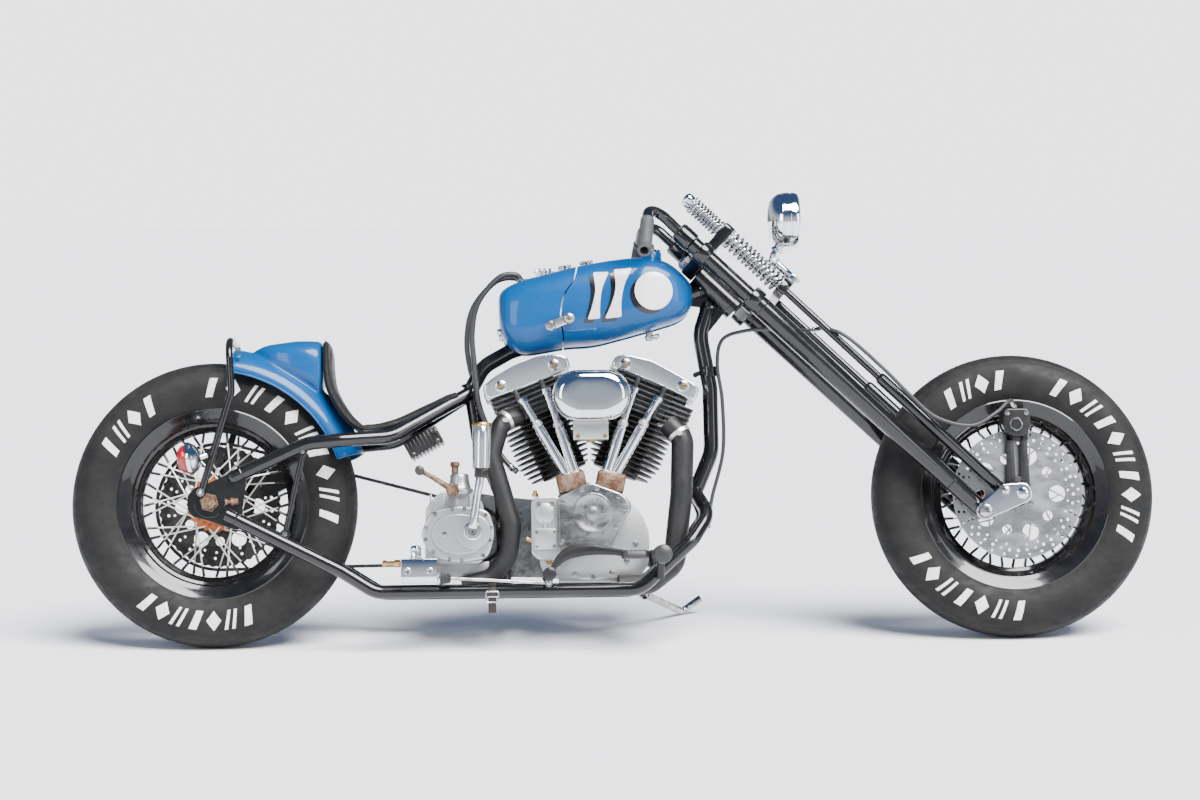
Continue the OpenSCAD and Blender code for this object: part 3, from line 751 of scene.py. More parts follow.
@dataclass(frozen=True)
class Finish:
    """What a surface is made of and how it has aged."""

    name: str
    slot: str | None
    colour: tuple[float, float, float]
    stain: tuple[float, float, float]
    rough: tuple[float, float]
    metal: float = 0.0
    coat: float = 0.0
    stained: float = 0.35
    patches: float = 9.0
    relief: Relief = Relief.GRAIN
    relief_scale: float = 900.0
    relief_depth: float = 0.15
    dusty: float = 0.0
    sheen: float = 0.0
    through: float = 0.0
    shine: float = 0.5

    def material(self) -> bpy.types.Material:
        """Returns the material of this finish, building it once."""
        found = bpy.data.materials.get(self.name)
        return found if found else self._build()

    def _build(self) -> bpy.types.Material:
        """Wires the material."""
        m = bpy.data.materials.new(self.name)
        m.use_nodes = True
        t = Tree(m.node_tree)
        shader = t.node("BsdfPrincipled", {
            "Metallic": self.metal, "Coat Weight": self.coat,
            "Coat Roughness": 0.04, "Sheen Weight": self.sheen,
            "Transmission Weight": self.through, "IOR": 1.48,
            "Specular IOR Level": self.shine})
        out = t.node("OutputMaterial")
        t.tree.links.new(shader.outputs[0], out.inputs[0])
        colour, shine, height = self._surface(t)
        t.tree.links.new(colour, shader.inputs["Base Color"])
        t.tree.links.new(shine, shader.inputs["Roughness"])
        bump = t.node("Bump", {"Height": height,
                               "Strength": self.relief_depth,
                               "Distance": 0.0006})
        t.tree.links.new(bump.outputs[0], shader.inputs["Normal"])
        m.diffuse_color = (*self.colour, 1)
        return m

    def _surface(self, t: Tree) -> tuple[bpy.types.NodeSocket, ...]:
        """Returns the colour, roughness and height sockets."""
        spots = t.node("Group", node_tree=Effects.get("mottle"))
        spots.inputs["Colour"].default_value = (*self.colour, 1)
        spots.inputs["Stain"].default_value = (*self.stain, 1)
        spots.inputs["Scale"].default_value = self.patches
        spots.inputs["Amount"].default_value = self.stained
        shine = t.node("Group", node_tree=Effects.get("handled"))
        shine.inputs["Low"].default_value = self.rough[0]
        shine.inputs["High"].default_value = self.rough[1]
        shine.inputs["Scale"].default_value = self.patches * 1.7
        fine = t.node("Group", node_tree=Effects.get(self.relief.value))
        fine.inputs["Scale"].default_value = self.relief_scale
        if self.relief is Relief.GRAIN:
            fine.inputs["Depth"].default_value = 1.0
        colour = spots.outputs["Colour"]
        if self.dusty:
            dust = t.node("Group", node_tree=Effects.get("dust"))
            dust.inputs["Amount"].default_value = self.dusty
            colour = t.blend(dust.outputs["Mask"], colour,
                             (0.32, 0.29, 0.25, 1))
        return colour, shine.outputs["Roughness"], fine.outputs["Height"]


class Finishes:
    """Every finish on the bike."""

    BLACK = Finish("black_gloss_paint", "gloss_black", (0.003, 0.003, 0.0035),
                   (0.007, 0.007, 0.0075), (0.14, 0.26), coat=0.55,
                   dusty=0.03, relief_scale=260, relief_depth=0.03,
                   shine=0.3)
    SATIN = Finish("black_satin_paint", "black_disc", (0.005, 0.005, 0.0053),
                   (0.016, 0.015, 0.0145), (0.3, 0.46), coat=0.1, dusty=0.05,
                   relief_depth=0.12, shine=0.35)
    BLUE = Finish("blue_gloss_paint", "blue_paint", (0.0, 0.062, 0.205),
                  (0.0, 0.053, 0.18), (0.3, 0.42), coat=0.35,
                  stained=0.5, patches=5, relief_scale=220,
                  relief_depth=0.025, shine=0.15)
    WHITE = Finish("white_graphic_paint", "blue_paint", (0.8, 0.79, 0.77),
                   (0.62, 0.6, 0.57), (0.2, 0.34), coat=0.6, stained=0.25,
                   relief_scale=220, relief_depth=0.03)
    SHADOW = Finish("black_graphic_paint", "blue_paint", (0.003, 0.003, 0.005),
                    (0.007, 0.007, 0.009), (0.2, 0.34), coat=0.6,
                    relief_scale=220, relief_depth=0.03, shine=0.3)
    TYRE = Finish("tyre_rubber", "tyre", (0.0065, 0.0065, 0.0066),
                  (0.013, 0.0125, 0.0115), (0.52, 0.72), stained=0.5,
                  patches=14, relief_scale=700, relief_depth=0.4, dusty=0.05,
                  shine=0.22)
    TYRE_WHITE = Finish("tyre_white_paint", "tyre", (0.78, 0.77, 0.74),
                        (0.42, 0.4, 0.37), (0.5, 0.7), stained=0.3,
                        patches=60, relief_scale=700, relief_depth=0.35)
    CHROME = Finish("chrome_plate", "chrome", (0.78, 0.79, 0.81),
                    (0.6, 0.6, 0.61), (0.03, 0.09), metal=1.0, stained=0.3,
                    relief_scale=120, relief_depth=0.012)
    AGED_CHROME = Finish("aged_chrome_plate", "chrome", (0.6, 0.6, 0.61),
                         (0.2, 0.17, 0.145), (0.1, 0.28), metal=1.0,
                         stained=0.6, patches=40, relief_scale=300,
                         relief_depth=0.05)
    SPRING = Finish("spring_steel", "chrome", (0.34, 0.34, 0.35),
                    (0.16, 0.15, 0.14), (0.12, 0.26), metal=1.0,
                    stained=0.5, patches=50, relief_depth=0.05)
    SPOKE = Finish("spoke_steel", "spoke_steel", (0.55, 0.52, 0.48),
                   (0.3, 0.2, 0.13), (0.22, 0.42), metal=0.95,
                   stained=0.4, patches=30)
    DISC = Finish("ground_disc_steel", "disc_steel", (0.36, 0.36, 0.365),
                  (0.24, 0.235, 0.23), (0.26, 0.42), metal=1.0,
                  relief=Relief.BRUSHING, relief_scale=900, relief_depth=0.2)
    POLISHED = Finish("polished_alloy", "polished_alloy", (0.46, 0.46, 0.455),
                      (0.24, 0.23, 0.215), (0.15, 0.3), metal=1.0, stained=0.6,
                      patches=22, relief_scale=500, relief_depth=0.07)
    COVER = Finish("grimy_polished_alloy", "polished_alloy",
                   (0.36, 0.36, 0.36), (0.085, 0.08, 0.075), (0.22, 0.42),
                   metal=1.0, stained=0.7, patches=9, relief_scale=500,
                   relief_depth=0.1)
    CAST = Finish("cast_alloy", "cast_alloy", (0.36, 0.36, 0.35),
                  (0.04, 0.034, 0.028), (0.3, 0.6), metal=0.9, stained=0.85,
                  patches=26, relief_scale=420, relief_depth=0.5, dusty=0.08)
    FIN = Finish("cylinder_black", "cylinder_iron", (0.013, 0.013, 0.0135),
                 (0.05, 0.045, 0.04), (0.34, 0.55), metal=0.35, stained=0.35,
                 patches=24, relief_depth=0.4, dusty=0.05, shine=0.35)
    FIN_EDGE = Finish("cylinder_bright_edges", "cylinder_iron",
                      (0.05, 0.05, 0.051), (0.016, 0.016, 0.016),
                      (0.34, 0.5), metal=0.7, stained=0.6, patches=60,
                      relief_depth=0.2, shine=0.35)
    PIPE = Finish("matt_exhaust_coat", "exhaust_black", (0.007, 0.007, 0.0075),
                  (0.016, 0.015, 0.0145), (0.38, 0.58), stained=0.55,
                  patches=16, relief_depth=0.5, shine=0.4)
    LEATHER = Finish("black_leather", "leather", (0.006, 0.0058, 0.0055),
                     (0.014, 0.0125, 0.011), (0.42, 0.6), stained=0.5, patches=20, relief=Relief.HIDE,
                     relief_scale=420, relief_depth=0.55, sheen=0.05,
                     shine=0.2)
    STRAP = Finish("belt_leather", "leather", (0.012, 0.010, 0.009),
                   (0.03, 0.024, 0.02), (0.45, 0.65), stained=0.5,
                   patches=40, relief=Relief.HIDE, relief_scale=600,
                   relief_depth=0.5, shine=0.35)
    HOSE = Finish("hose_rubber", "hose_rubber", (0.006, 0.006, 0.006),
                  (0.015, 0.015, 0.0145), (0.34, 0.55), patches=24,
                  relief_depth=0.3, shine=0.35)
    GRIP = Finish("grip_rubber", "hose_rubber", (0.05, 0.05, 0.052),
                  (0.085, 0.084, 0.082), (0.5, 0.72), patches=40,
                  relief_depth=0.4)
    CHAIN = Finish("oiled_chain_steel", "chain_steel", (0.07, 0.067, 0.064),
                   (0.02, 0.018, 0.016), (0.28, 0.5), metal=0.9, stained=0.6,
                   patches=50, relief_depth=0.2)
    RUST = Finish("worn_brown_steel", "rusty_steel", (0.22, 0.15, 0.105),
                  (0.09, 0.038, 0.018), (0.36, 0.66), metal=0.75,
                  stained=0.85, patches=60, relief_depth=0.6)
    COPPER = Finish("orange_hub_paint", "rusty_steel", (0.46, 0.13, 0.035),
                    (0.15, 0.05, 0.02), (0.34, 0.6), metal=0.45, stained=0.55,
                    patches=50, relief_depth=0.4)
    BRASS = Finish("dull_brass", None, (0.5, 0.34, 0.13),
                   (0.2, 0.13, 0.055), (0.24, 0.44), metal=1.0, stained=0.5,
                   patches=60, relief_depth=0.15)
    RED = Finish("red_lens", None, (0.38, 0.002, 0.003),
                 (0.26, 0.0015, 0.002), (0.06, 0.12), coat=0.8, through=0.25,
                 relief_scale=200, relief_depth=0.05)
    GLASS = Finish("clear_lens", None, (0.96, 0.97, 0.97),
                   (0.9, 0.92, 0.92), (0.02, 0.06), through=0.95,
                   relief_scale=150, relief_depth=0.05)


# ---- wheels -------------------------------------------------------------


@dataclass(frozen=True)
class Rotor:
    """A drilled brake disc, square across the bike."""

    y0: float
    y1: float
    radius: float
    windows: int
    window_r: float
    window_at: float
    rows: tuple[tuple[float, int, float], ...]
    teeth: int = 0

    def solid(self, x: float) -> Solid:
        """Draws the disc round the axle at x.

        Args:
            x: Where the axle is.

        Returns:
            The drilled disc.
        """
        holes = [disc_outline(x, AXLE_HEIGHT, 28, 40)]
        for k in range(self.windows):
            a = 360 * k / self.windows
            holes.append(self._window(x, a, self.window_at, self.window_r))
            holes.append(self._window(x, a + 180 / self.windows,
                                      self.window_at * 0.93,
                                      self.window_r * 0.6))
        for at, count, r in self.rows:
            for k in range(count):
                t = math.radians(360 * (k + 0.5) / count + at)
                holes.append(disc_outline(x + at * math.cos(t),
                                          AXLE_HEIGHT + at * math.sin(t),
                                          r, 12))
        return Solid().punched(self._rim(x), holes, self.y0, self.y1)

    def _rim(self, x: float) -> Outline:
        """Returns the outer edge, toothed where the disc drives a chain."""
        if not self.teeth:
            return disc_outline(x, AXLE_HEIGHT, self.radius, 120)
        edge = []
        for k in range(self.teeth * 6):
            t = math.tau * k / (self.teeth * 6)
            r = self.radius - 3.5 * (0.5 - 0.5 * math.cos(t * self.teeth)) ** 1.4
            edge.append((x + r * math.cos(t), AXLE_HEIGHT + r * math.sin(t)))
        return edge

    def _window(self, x: float, angle: float, at: float, r: float) -> Outline:
        """Returns a window with six soft corners."""
        t = math.radians(angle)
        cx, cz = x + at * math.cos(t), AXLE_HEIGHT + at * math.sin(t)
        return softened([(cx + r * math.cos(t + math.radians(60 * k + 30)),
                          cz + r * math.sin(t + math.radians(60 * k + 30)))
                         for k in range(6)], r * 0.42, 3)


@dataclass(frozen=True)
class Marks:
    """A run of painted marks round a sidewall, angles in degrees."""

    start: float
    end: float
    count: int


@dataclass
class Wheel:
    """A spoked wheel: tyre, rim, spokes, hub and disc."""

    name: str
    body: Body
    x: float
    hub: tuple[float, float]
    rotor: Rotor
    rotor_finish: Finish
    marks: tuple[Marks, ...]
    tyre_radius: float = 329.0
    half_width: float = 64.8
    bead: float = 203.5
    spokes: int = 40

    SECTION = ((0.0, 0.62), (0.14, 0.8), (0.29, 0.94), (0.46, 1.0),
               (0.64, 0.98), (0.8, 0.85), (0.912, 0.65), (0.976, 0.37),
               (1.0, 0.0))

    def build(self, shop: Shop) -> None:
        """Makes every piece of the wheel."""
        self._tyre(shop)
        self._rim(shop)
        self._spokes(shop)
        self._hub(shop)
        self._disc(shop)

    def _wall(self) -> list[Vector]:
        """Returns the sidewall's curve as (radius, 0, half width) points."""
        h = self.tyre_radius - self.bead
        pts = [(self.bead + a * h, 0, b * self.half_width)
               for a, b in self.SECTION]
        return [Vector((min(p.x, self.tyre_radius), 0, p.z))
                for p in flowing(pts, 6)]

    def _tyre(self, shop: Shop) -> None:
        """Makes the tyre, with tread grooves and fine sidewall rings."""
        outer = [(p.x, p.z) for p in self._wall()]
        shaped = []
        for r, y in outer:
            share = (r - self.bead) / (self.tyre_radius - self.bead)
            cut = 0.0
            for at, depth in ((0.055, 1.4), (0.86, 1.2)):
                cut += depth * math.exp(-((share - at) / 0.012) ** 2)
            shaped.append((r, y - cut))
        crown = []
        for k in range(-26, 27):
            y = k * 1.0
            r = self.tyre_radius - 0.0042 * y * y
            for groove in (-19, -6.5, 6.5, 19):
                if abs(y - groove) < 1.2:
                    r -= 3.2
            crown.append((r, y))
        side = [p for p in shaped if p[1] > 28 or p[0] < 290]
        lining = [(self.bead + 4, 34), (self.bead + 60, 48),
                  (self.tyre_radius - 22, 26)]
        half = lining[::-1] + side
        section = ([(r, -y) for r, y in side[::-1]] + lining_mirror(lining)
                   + half + crown[::-1])
        shop.piece(f"{self.name}_tyre_carcass",
                   Solid().revolved(self.x, section, 144), Finishes.TYRE,
                   self.body, replaces=(f"{self.name}_tyre",), smooth=42)
        self._paint(shop)

    def _paint(self, shop: Shop) -> None:
        """Makes the white marks on both sidewalls."""
        wall = [p for p in self._wall() if p.x > 232]
        for side in Side:
            s = Solid()
            for run in self.marks:
                for k in range(run.count):
                    t = (k + 0.5) / run.count
                    self._mark(s, wall, run.start + (run.end - run.start) * t,
                               k % 3, side.value)
            shop.piece(f"{self.name}_tyre_marks_{side.name.lower()}", s,
                       Finishes.TYRE_WHITE, self.body, smooth=60)

    def _mark(self, s: Solid, wall: list[Vector], angle: float, kind: int,
              side: int) -> None:
        """Draws one mark that lies on the sidewall.

        Args:
            s: The solid to draw into.
            wall: The sidewall's curve.
            angle: Where the mark is, in degrees.
            kind: 0 for a slanted bar, 1 for a lozenge, 2 for a broad bar.
            side: Which sidewall, as the sign of y.
        """
        n, m = 8, 9
        for off, width in ((0.0, 1.0),) if kind != 2 else ((-8, 0.42), (8, 0.42)):
            grid = []
            for i in range(n + 1):
                a = i / n
                row = []
                for j in range(m + 1):
                    b = j / m
                    if kind == 1:
                        u, v = (a - 0.5) * 34, (b - 0.5) * 46 * (1 - abs(2 * a - 1))
                    else:
                        u = (a - 0.5) * 17 * width + (b - 0.5) * 12 + off
                        v = (b - 0.5) * 44
                    row.append(s.bm.verts.new(self._on_wall(
                        wall, angle, u, v, side)))
                grid.append(row)
            for i in range(n):
                for j in range(m):
                    s.bm.faces.new((grid[i][j], grid[i + 1][j],
                                    grid[i + 1][j + 1], grid[i][j + 1]))

    def _on_wall(self, wall: list[Vector], angle: float, u: float, v: float,
                 side: int) -> Vector:
        """Returns the point u round and v out from a mark's middle."""
        r = 268 + v
        k = min(range(len(wall) - 1), key=lambda i: abs(wall[i].x - r))
        k = k if wall[k].x <= r or k == 0 else k - 1
        p, q = wall[k], wall[k + 1]
        y = p.z + (q.z - p.z) * (r - p.x) / max(q.x - p.x, 1e-6) + 0.7
        t = math.radians(angle) - u / 268
        return Vector((self.x + r * math.cos(t), side * y,
                       AXLE_HEIGHT + r * math.sin(t)))

    def _rim(self, shop: Shop) -> None:
        """Makes the stepped black rim."""
        b = self.bead
        face = [(b - 36, 0), (b - 36, 12), (b - 34, 20), (b - 27, 24),
                (b - 24, 31), (b - 18, 34), (b - 14, 42), (b - 7, 45),
                (b - 2, 47), (b + 5, 49), (b + 11, 52), (b + 15, 53.5),
                (b + 17.6, 52.5), (b + 17.4, 50), (b + 12, 49),
                (b + 4, 46), (b - 0.4, 42), (b - 1, 31), (b - 20, 20),
                (b - 27, 17), (b - 27, 0)]
        section = face + [(r, -y) for r, y in face[::-1][1:-1]]
        shop.piece(f"{self.name}_rim_rolled",
                   Solid().revolved(self.x, section, 144), Finishes.BLACK,
                   self.body, replaces=(f"{self.name}_rim",), smooth=28)

    def _spokes(self, shop: Shop) -> None:
        """Makes the crossed spokes, each with a black sleeve 25 mm long at its rim end."""
        wires, ends = Solid(), Solid()
        for i in range(self.spokes):
            t = 1 if i % 2 == 0 else -1
            lay = 42 if (i // 2) % 2 == 0 else -42
            a = math.radians(360 * i / self.spokes)
            c = math.radians(360 * i / self.spokes - lay)
            p = Vector((self.x + 54 * math.cos(c), t * (38 + (i // 2) % 2 * 5.4
                                                        - 2.7),
                        AXLE_HEIGHT + 54 * math.sin(c)))
            r = self.bead - 36
            q = Vector((self.x + r * math.cos(a), t * 8,
                        AXLE_HEIGHT + r * math.sin(a)))
            d = (q - p).normalized()
            wires.rod(p, q, 1.95, edge=0.2, sides=10)
            wires.turned(p - Vector((0, t * 3, 0)), (0, t, 0),
                         [(0, 3.2), (1.5, 3.6), (3, 2)], 10)
            # Each spoke ends at the rim in a black sleeve 25 mm long, darker than its wire.
            ends.turned(q - d * 25, d, [(0, 2.2), (1, 3.1), (24, 3.4)], 8)
        shop.piece(f"{self.name}_spokes", wires, Finishes.SPOKE, self.body)
        shop.piece(f"{self.name}_spoke_nipples", ends, Finishes.SATIN,
                   self.body)

    def _hub(self, shop: Shop) -> None:
        """Makes the hub's barrel and its scalloped flanges."""
        y0, y1 = self.hub
        barrel = [(10.2, 0), (27, 0), (30, 3), (30, -y0 - 44), (40, -y0 - 41),
                  (40, -y0 - 36), (27, -y0 - 26), (25, -y0), (27, -y0 + 26),
                  (40, -y0 + 36), (40, -y0 + 41), (30, -y0 + 44),
                  (30, y1 - y0 - 3), (27, y1 - y0), (10.2, y1 - y0)]
        section = [(r, y0 + y) for r, y in barrel]
        shop.piece(f"{self.name}_hub_barrel",
                   Solid().revolved(self.x, section, 56), Finishes.SATIN,
                   self.body, replaces=(f"{self.name}_hub",), smooth=30)
        s = Solid()
        rim = [(self.x + (60 + 3.5 * math.cos(t * 20)) * math.cos(t),
                AXLE_HEIGHT + (60 + 3.5 * math.cos(t * 20)) * math.sin(t))
               for t in (math.tau * k / 200 for k in range(200))]
        holes = [disc_outline(self.x, AXLE_HEIGHT, 31, 32)]
        for k in range(20):
            t = math.tau * (k + 0.5) / 20
            holes.append(disc_outline(self.x + 47 * math.cos(t),
                                      AXLE_HEIGHT + 47 * math.sin(t), 4, 10))
        for y in (-41, 36):
            s.punched(rim, holes, y, y + 5)
        shop.piece(f"{self.name}_hub_flanges", s, Finishes.COPPER, self.body)

    def _disc(self, shop: Shop) -> None:
        """Makes the drilled disc and its bolts."""
        shop.piece(f"{self.name}_rotor", self.rotor.solid(self.x),
                   self.rotor_finish, self.body,
                   replaces=(f"{self.name}_disc",))
        out = 1 if self.rotor.y1 > 0 else -1
        face = self.rotor.y1 if out > 0 else self.rotor.y0
        s = Solid()
        for k in range(5):
            t = math.radians(72 * k + 36)
            s.nut((self.x + 37 * math.cos(t), face,
                   AXLE_HEIGHT + 37 * math.sin(t)), (0, out, 0), 5.2, 4.2)
        shop.piece(f"{self.name}_rotor_bolts", s, Finishes.AGED_CHROME,
                   self.body)


def lining_mirror(lining: Outline) -> Outline:
    """Returns the inner lining's points on the far side of the wheel."""
    return [(r, -y) for r, y in lining]


# ---- fork ---------------------------------------------------------------


@dataclass
class Fork:
    """The springer fork with its crowns, legs, springs and rockers."""

    line: ForkLine
    leg_y: float = 108.0
    stem: float = -30.0

    def build(self, shop: Shop) -> None:
        """Makes every piece of the fork."""
        self._rear_legs(shop)
        self._crowns(shop)
        self._front_legs(shop)
        self._springs(shop)
        self._rockers(shop)
        self._axle(shop)

    def frame(self, ahead: float = 0, y: float = 0, up: float = 0) -> Matrix:
        """Returns the map from the fork's own axes to the bike."""
        a, u = self.line.ahead(), self.line.up()
        m = Matrix(((a.x, 0, u.x), (a.y, 1, u.y), (a.z, 0, u.z))).to_4x4()
        return Matrix.Translation(self.line.at(ahead, y, up)) @ m

    def _rear_legs(self, shop: Shop) -> None:
        """Makes the two long tapered legs with their collars."""
        s = Solid()
        for side in Side:
            y = side.value * self.leg_y
            s.turned(self.line.at(0, y, 0), self.line.up(), [
                (0, 18), (3, 20), (702, 24.4), (702.2, 29), (705, 30.5),
                (727, 30.5), (730, 29), (731, 20), (858, 19.6), (859, 25),
                (862, 26.5), (885, 26.5), (888, 25), (889, 19.6),
                (908, 19.6), (912, 24), (948, 24), (951, 22)], 40)
            s.across(*self._xz(0, 0), y - 18, y + 18, 20, edge=2)
            for up in (96, 688):
                s.weld(self.line.at(0, y, up), self.line.up(),
                       20.4 + 4 * up / 716, 1.6)
        shop.piece("fork_rear_legs", s, Finishes.BLACK, Body.FORK,
                   replaces=("fork_legs",))

    def _xz(self, ahead: float, up: float) -> tuple[float, float]:
        """Returns the bike x and z of a place on the fork."""
        p = self.line.at(ahead, 0, up)
        return p[0], p[2]

    def _crowns(self, shop: Shop) -> None:
        """Makes both crowns, the stem's bosses and the spring perch."""
        s = Solid()
        arm = [(-44, -14), (-44, 14), (-10, 108), (14, 108), (20, 60),
               (22, 0), (20, -60), (14, -108), (-10, -108)]
        for up in (702, 860):
            s.extruded(softened(arm, 9), up, up + 28, self.frame())
            s.turned(self.line.at(self.stem, 0, up - 3), self.line.up(), [
                (0, 20), (3, 21.5), (29, 21.5), (32, 20)], 40)
        perch = softened([(10, -50), (100, -46), (106, -30), (106, 30),
                          (100, 46), (10, 50)], 8)
        s.extruded(perch, 861.5, 886.5, self.frame())
        shop.piece("fork_crowns", s, Finishes.BLACK, Body.FORK, edge=1.6)
        nuts = Solid()
        nuts.turned(self.line.at(self.stem, 0, 884), self.line.up(),
                    [(0, 22), (4, 22), (4.2, 18), (16, 18), (22, 14),
                     (25, 6)], 6)
        for side in Side:
            y = side.value * self.leg_y
            nuts.nut(self.line.at(15, y, 874), self.line.ahead(), 6, 7)
            nuts.nut(self.line.at(15, y, 716), self.line.ahead(), 6, 7)
        shop.piece("fork_crown_nuts", nuts, Finishes.AGED_CHROME, Body.FORK)

    def _front_legs(self, shop: Shop) -> None:
        """Makes the slim front legs, their bridge and the spring rods."""
        s, bright = Solid(), Solid()
        for side in Side:
            y = side.value * self.leg_y
            s.turned(self.line.at(66, y, -2), self.line.up(), [
                (0, 12), (4, 14), (380, 14), (386, 12), (388, 9), (688, 9)],
                28)
            s.across(*self._xz(66, -2), y - 18, y + 18, 14, edge=2)
            p = side.value * 24
            bright.turned(self.line.at(84, p, 690), self.line.up(), [
                (0, 7), (288, 7), (288.2, 12.5), (296, 14), (304, 14),
                (309, 11), (311.8, 6)], 28)
        plan = softened([(52, -self.leg_y - 14), (86, -self.leg_y - 8),
                         (104, -54), (104, 54), (86, self.leg_y + 8),
                         (52, self.leg_y + 14)], 12)
        s.extruded(plan, 674.5, 695.5, self.frame())
        shop.piece("fork_slim_legs", s, Finishes.BLACK, Body.FORK, edge=0.8,
                   replaces=("fork_front_legs",))
        shop.piece("spring_rods", bright, Finishes.CHROME, Body.FORK)

    def _springs(self, shop: Shop) -> None:
        """Makes the four coil springs, with their cups."""
        coils, cups = Solid(), Solid()
        for side in Side:
            y = side.value * 24
            for low, high, r, wire, turns in ((700, 857, 17.4, 3.4, 11.5),
                                              (891, 975, 15.0, 2.7, 8.5)):
                steps = int(turns * 20)
                line = []
                for k in range(steps + 1):
                    t = k / steps
                    ease = t + 0.018 * math.sin(math.tau * t)
                    a = math.tau * turns * t
                    line.append(Vector(self.line.at(
                        84 + r * math.cos(a), y + side.value * r * math.sin(a),
                        low + wire + (high - low - 2 * wire) * ease)))
                coils.sweep(line, wire, 10)
                for up in (low - 3.6, high):
                    cups.turned(self.line.at(84, y, up), self.line.up(),
                                [(0, r + 3), (1, r + 3.6), (3, r + 3.6),
                                 (3.4, r - 2)], 32)
        shop.piece("fork_coil_springs", coils, Finishes.SPRING, Body.FORK,
                   replaces=("fork_springs",), smooth=80)
        shop.piece("spring_cups", cups, Finishes.AGED_CHROME, Body.FORK)

    def _rockers(self, shop: Shop) -> None:
        """Makes the chromed rockers and their pivot bolts."""
        s, bolts = Solid(), Solid()
        a, d = self.line.axle_ahead, self.line.axle_up
        for side in Side:
            y = side.value * (self.leg_y + 25)
            plan = outline_round([(0, 0, 20), (a, d, 23.5), (66, -2, 14.5)])
            xz = [self._xz(p[0], p[1]) for p in plan]
            s.crowned(xz, y - side.value * 5, y + side.value * 5, 2.4)
            for ahead, up, r in ((0, 0, 15.5), (66, -2, 9.5)):
                x, z = self._xz(ahead, up)
                bolts.turned((x, y + side.value * 4, z), (0, side.value, 0), [
                    (0, r + 3), (2, r + 3), (2.2, r), (8, r), (11, r * 0.86),
                    (12.6, r * 0.5), (13, 0.1)], 36)
                bolts.across(x, z, y - side.value * 17, y, r * 0.55)
        shop.piece("rocker_plates", s, Finishes.CHROME, Body.FORK, edge=0.8,
                   replaces=("fork_rockers",))
        shop.piece("rocker_bolts", bolts, Finishes.AGED_CHROME, Body.FORK)

    def _axle(self, shop: Shop) -> None:
        """Makes the front axle, its spacers and its domed nuts."""
        s = Solid()
        x, z = self.line.wheelbase, AXLE_HEIGHT
        s.across(x, z, -self.leg_y - 40, self.leg_y + 40, 9.9)
        for side in Side:
            y = side.value * (self.leg_y + 30.4)
            s.turned((x, y, z), (0, side.value, 0), [
                (0, 19), (2.2, 19), (2.4, 15), (9, 15), (11, 13)], 6)
            s.turned((x, y + side.value * 11, z), (0, side.value, 0), [
                (0, 11.5), (1.6, 11), (2.8, 7), (3.2, 0.1)], 28)
        s.across(x, z, 62, self.leg_y + 19.6, 14.5)
        s.across(x, z, -self.leg_y - 19.6, -94.4, 14.5)
        shop.piece("front_axle_bar", s, Finishes.CHROME, Body.FORK,
                   replaces=("front_axle",))


def outline_round(circles: list[tuple[float, float, float]],
                  steps: int = 96) -> Outline:
    """Returns the taut outline round a few circles.

    Args:
        circles: The centre and radius of each circle.
        steps: How many directions are tried.

    Returns:
        A closed convex outline.
    """
    out: Outline = []
    for k in range(steps):
        t = math.tau * k / steps
        c, s = math.cos(t), math.sin(t)
        x, z, r = max(circles, key=lambda q: q[0] * c + q[1] * s + q[2])
        p = (x + r * c, z + r * s)
        if not out or math.dist(out[-1], p) > 0.05:
            out.append(p)
    return out


@dataclass
class Headlight:
    """The round chrome headlight on its stalk."""

    line: ForkLine
    x: float = 1296.0
    z: float = 983.0
    radius: float = 67.0

    def _mount(self) -> Matrix:
        """Returns the map from the fork's own axes to the bike."""
        a, u = self.line.ahead(), self.line.up()
        m = Matrix(((a.x, 0, u.x), (a.y, 1, u.y), (a.z, 0, u.z))).to_4x4()
        return Matrix.Translation(self.line.at(0, 0, 0)) @ m

    def build(self, shop: Shop) -> None:
        """Makes the bucket, the rim, the lens, the lamp and the stalk."""
        o, d, r = (self.x, 0, self.z), (1, 0, 0), self.radius
        shell = Solid().turned(o, d, [
            (0, 18), (1, 34), (4, 46), (10, 55), (19, 62), (28, 65.5),
            (29, 64), (31, 64), (32, 66.4), (48, 66.8), (49, 64.6),
            (51, 64.6), (52, r), (60, r - 0.2), (66, r - 2.4), (69, r - 6),
            (70, r - 8), (66, r - 9), (60, r - 12), (58, 20), (58, 0.1)], 72)
        shop.piece("headlight_shell", shell, Finishes.CHROME, Body.FORK,
                   replaces=("headlight",), smooth=30)
        lens = Solid().turned((self.x + 64, 0, self.z), d, [
            (0, 0.1), (0, r - 9.4), (2, r - 9.4), (5, 48), (7.6, 32),
            (9.2, 15), (9.6, 0.1)], 64)
        shop.piece("headlight_lens", lens, Finishes.GLASS, Body.FORK)
        bulb = Solid().turned((self.x + 58.4, 0, self.z), d, [
            (0, 9), (2, 9), (2.4, 5), (4, 4), (4.8, 0.1)], 24)
        shop.piece("headlight_bulb", bulb, Finishes.POLISHED, Body.FORK)
        stalk = Solid()
        stalk.rod((1318, 0, 922), (1305, 0, 892), 10.6, edge=1.5)
        stalk.turned((1318, 0, 917), (-0.4, 0, -0.92), [
            (0, 15), (2, 16), (7, 16), (9, 12)], 36)
        up = self.line.up()
        stalk.rod(self.line.at(117, 0, 684), self.line.at(117, 0, 758), 9.2)
        stalk.turned(self.line.at(117, 0, 735), up, [
            (0, 9), (3, 12.5), (20, 12.5), (23, 9)], 6)
        stalk.extruded(softened([(99, -16), (125, -16), (125, 16),
                                 (99, 16)], 5), 676, 693,
                       self._mount())
        stalk.acorn(Vector(self.line.at(120, 0, 676)), -up, 5)
        shop.piece("headlight_stalk", stalk, Finishes.CHROME, Body.FORK,
                   edge=1.0)


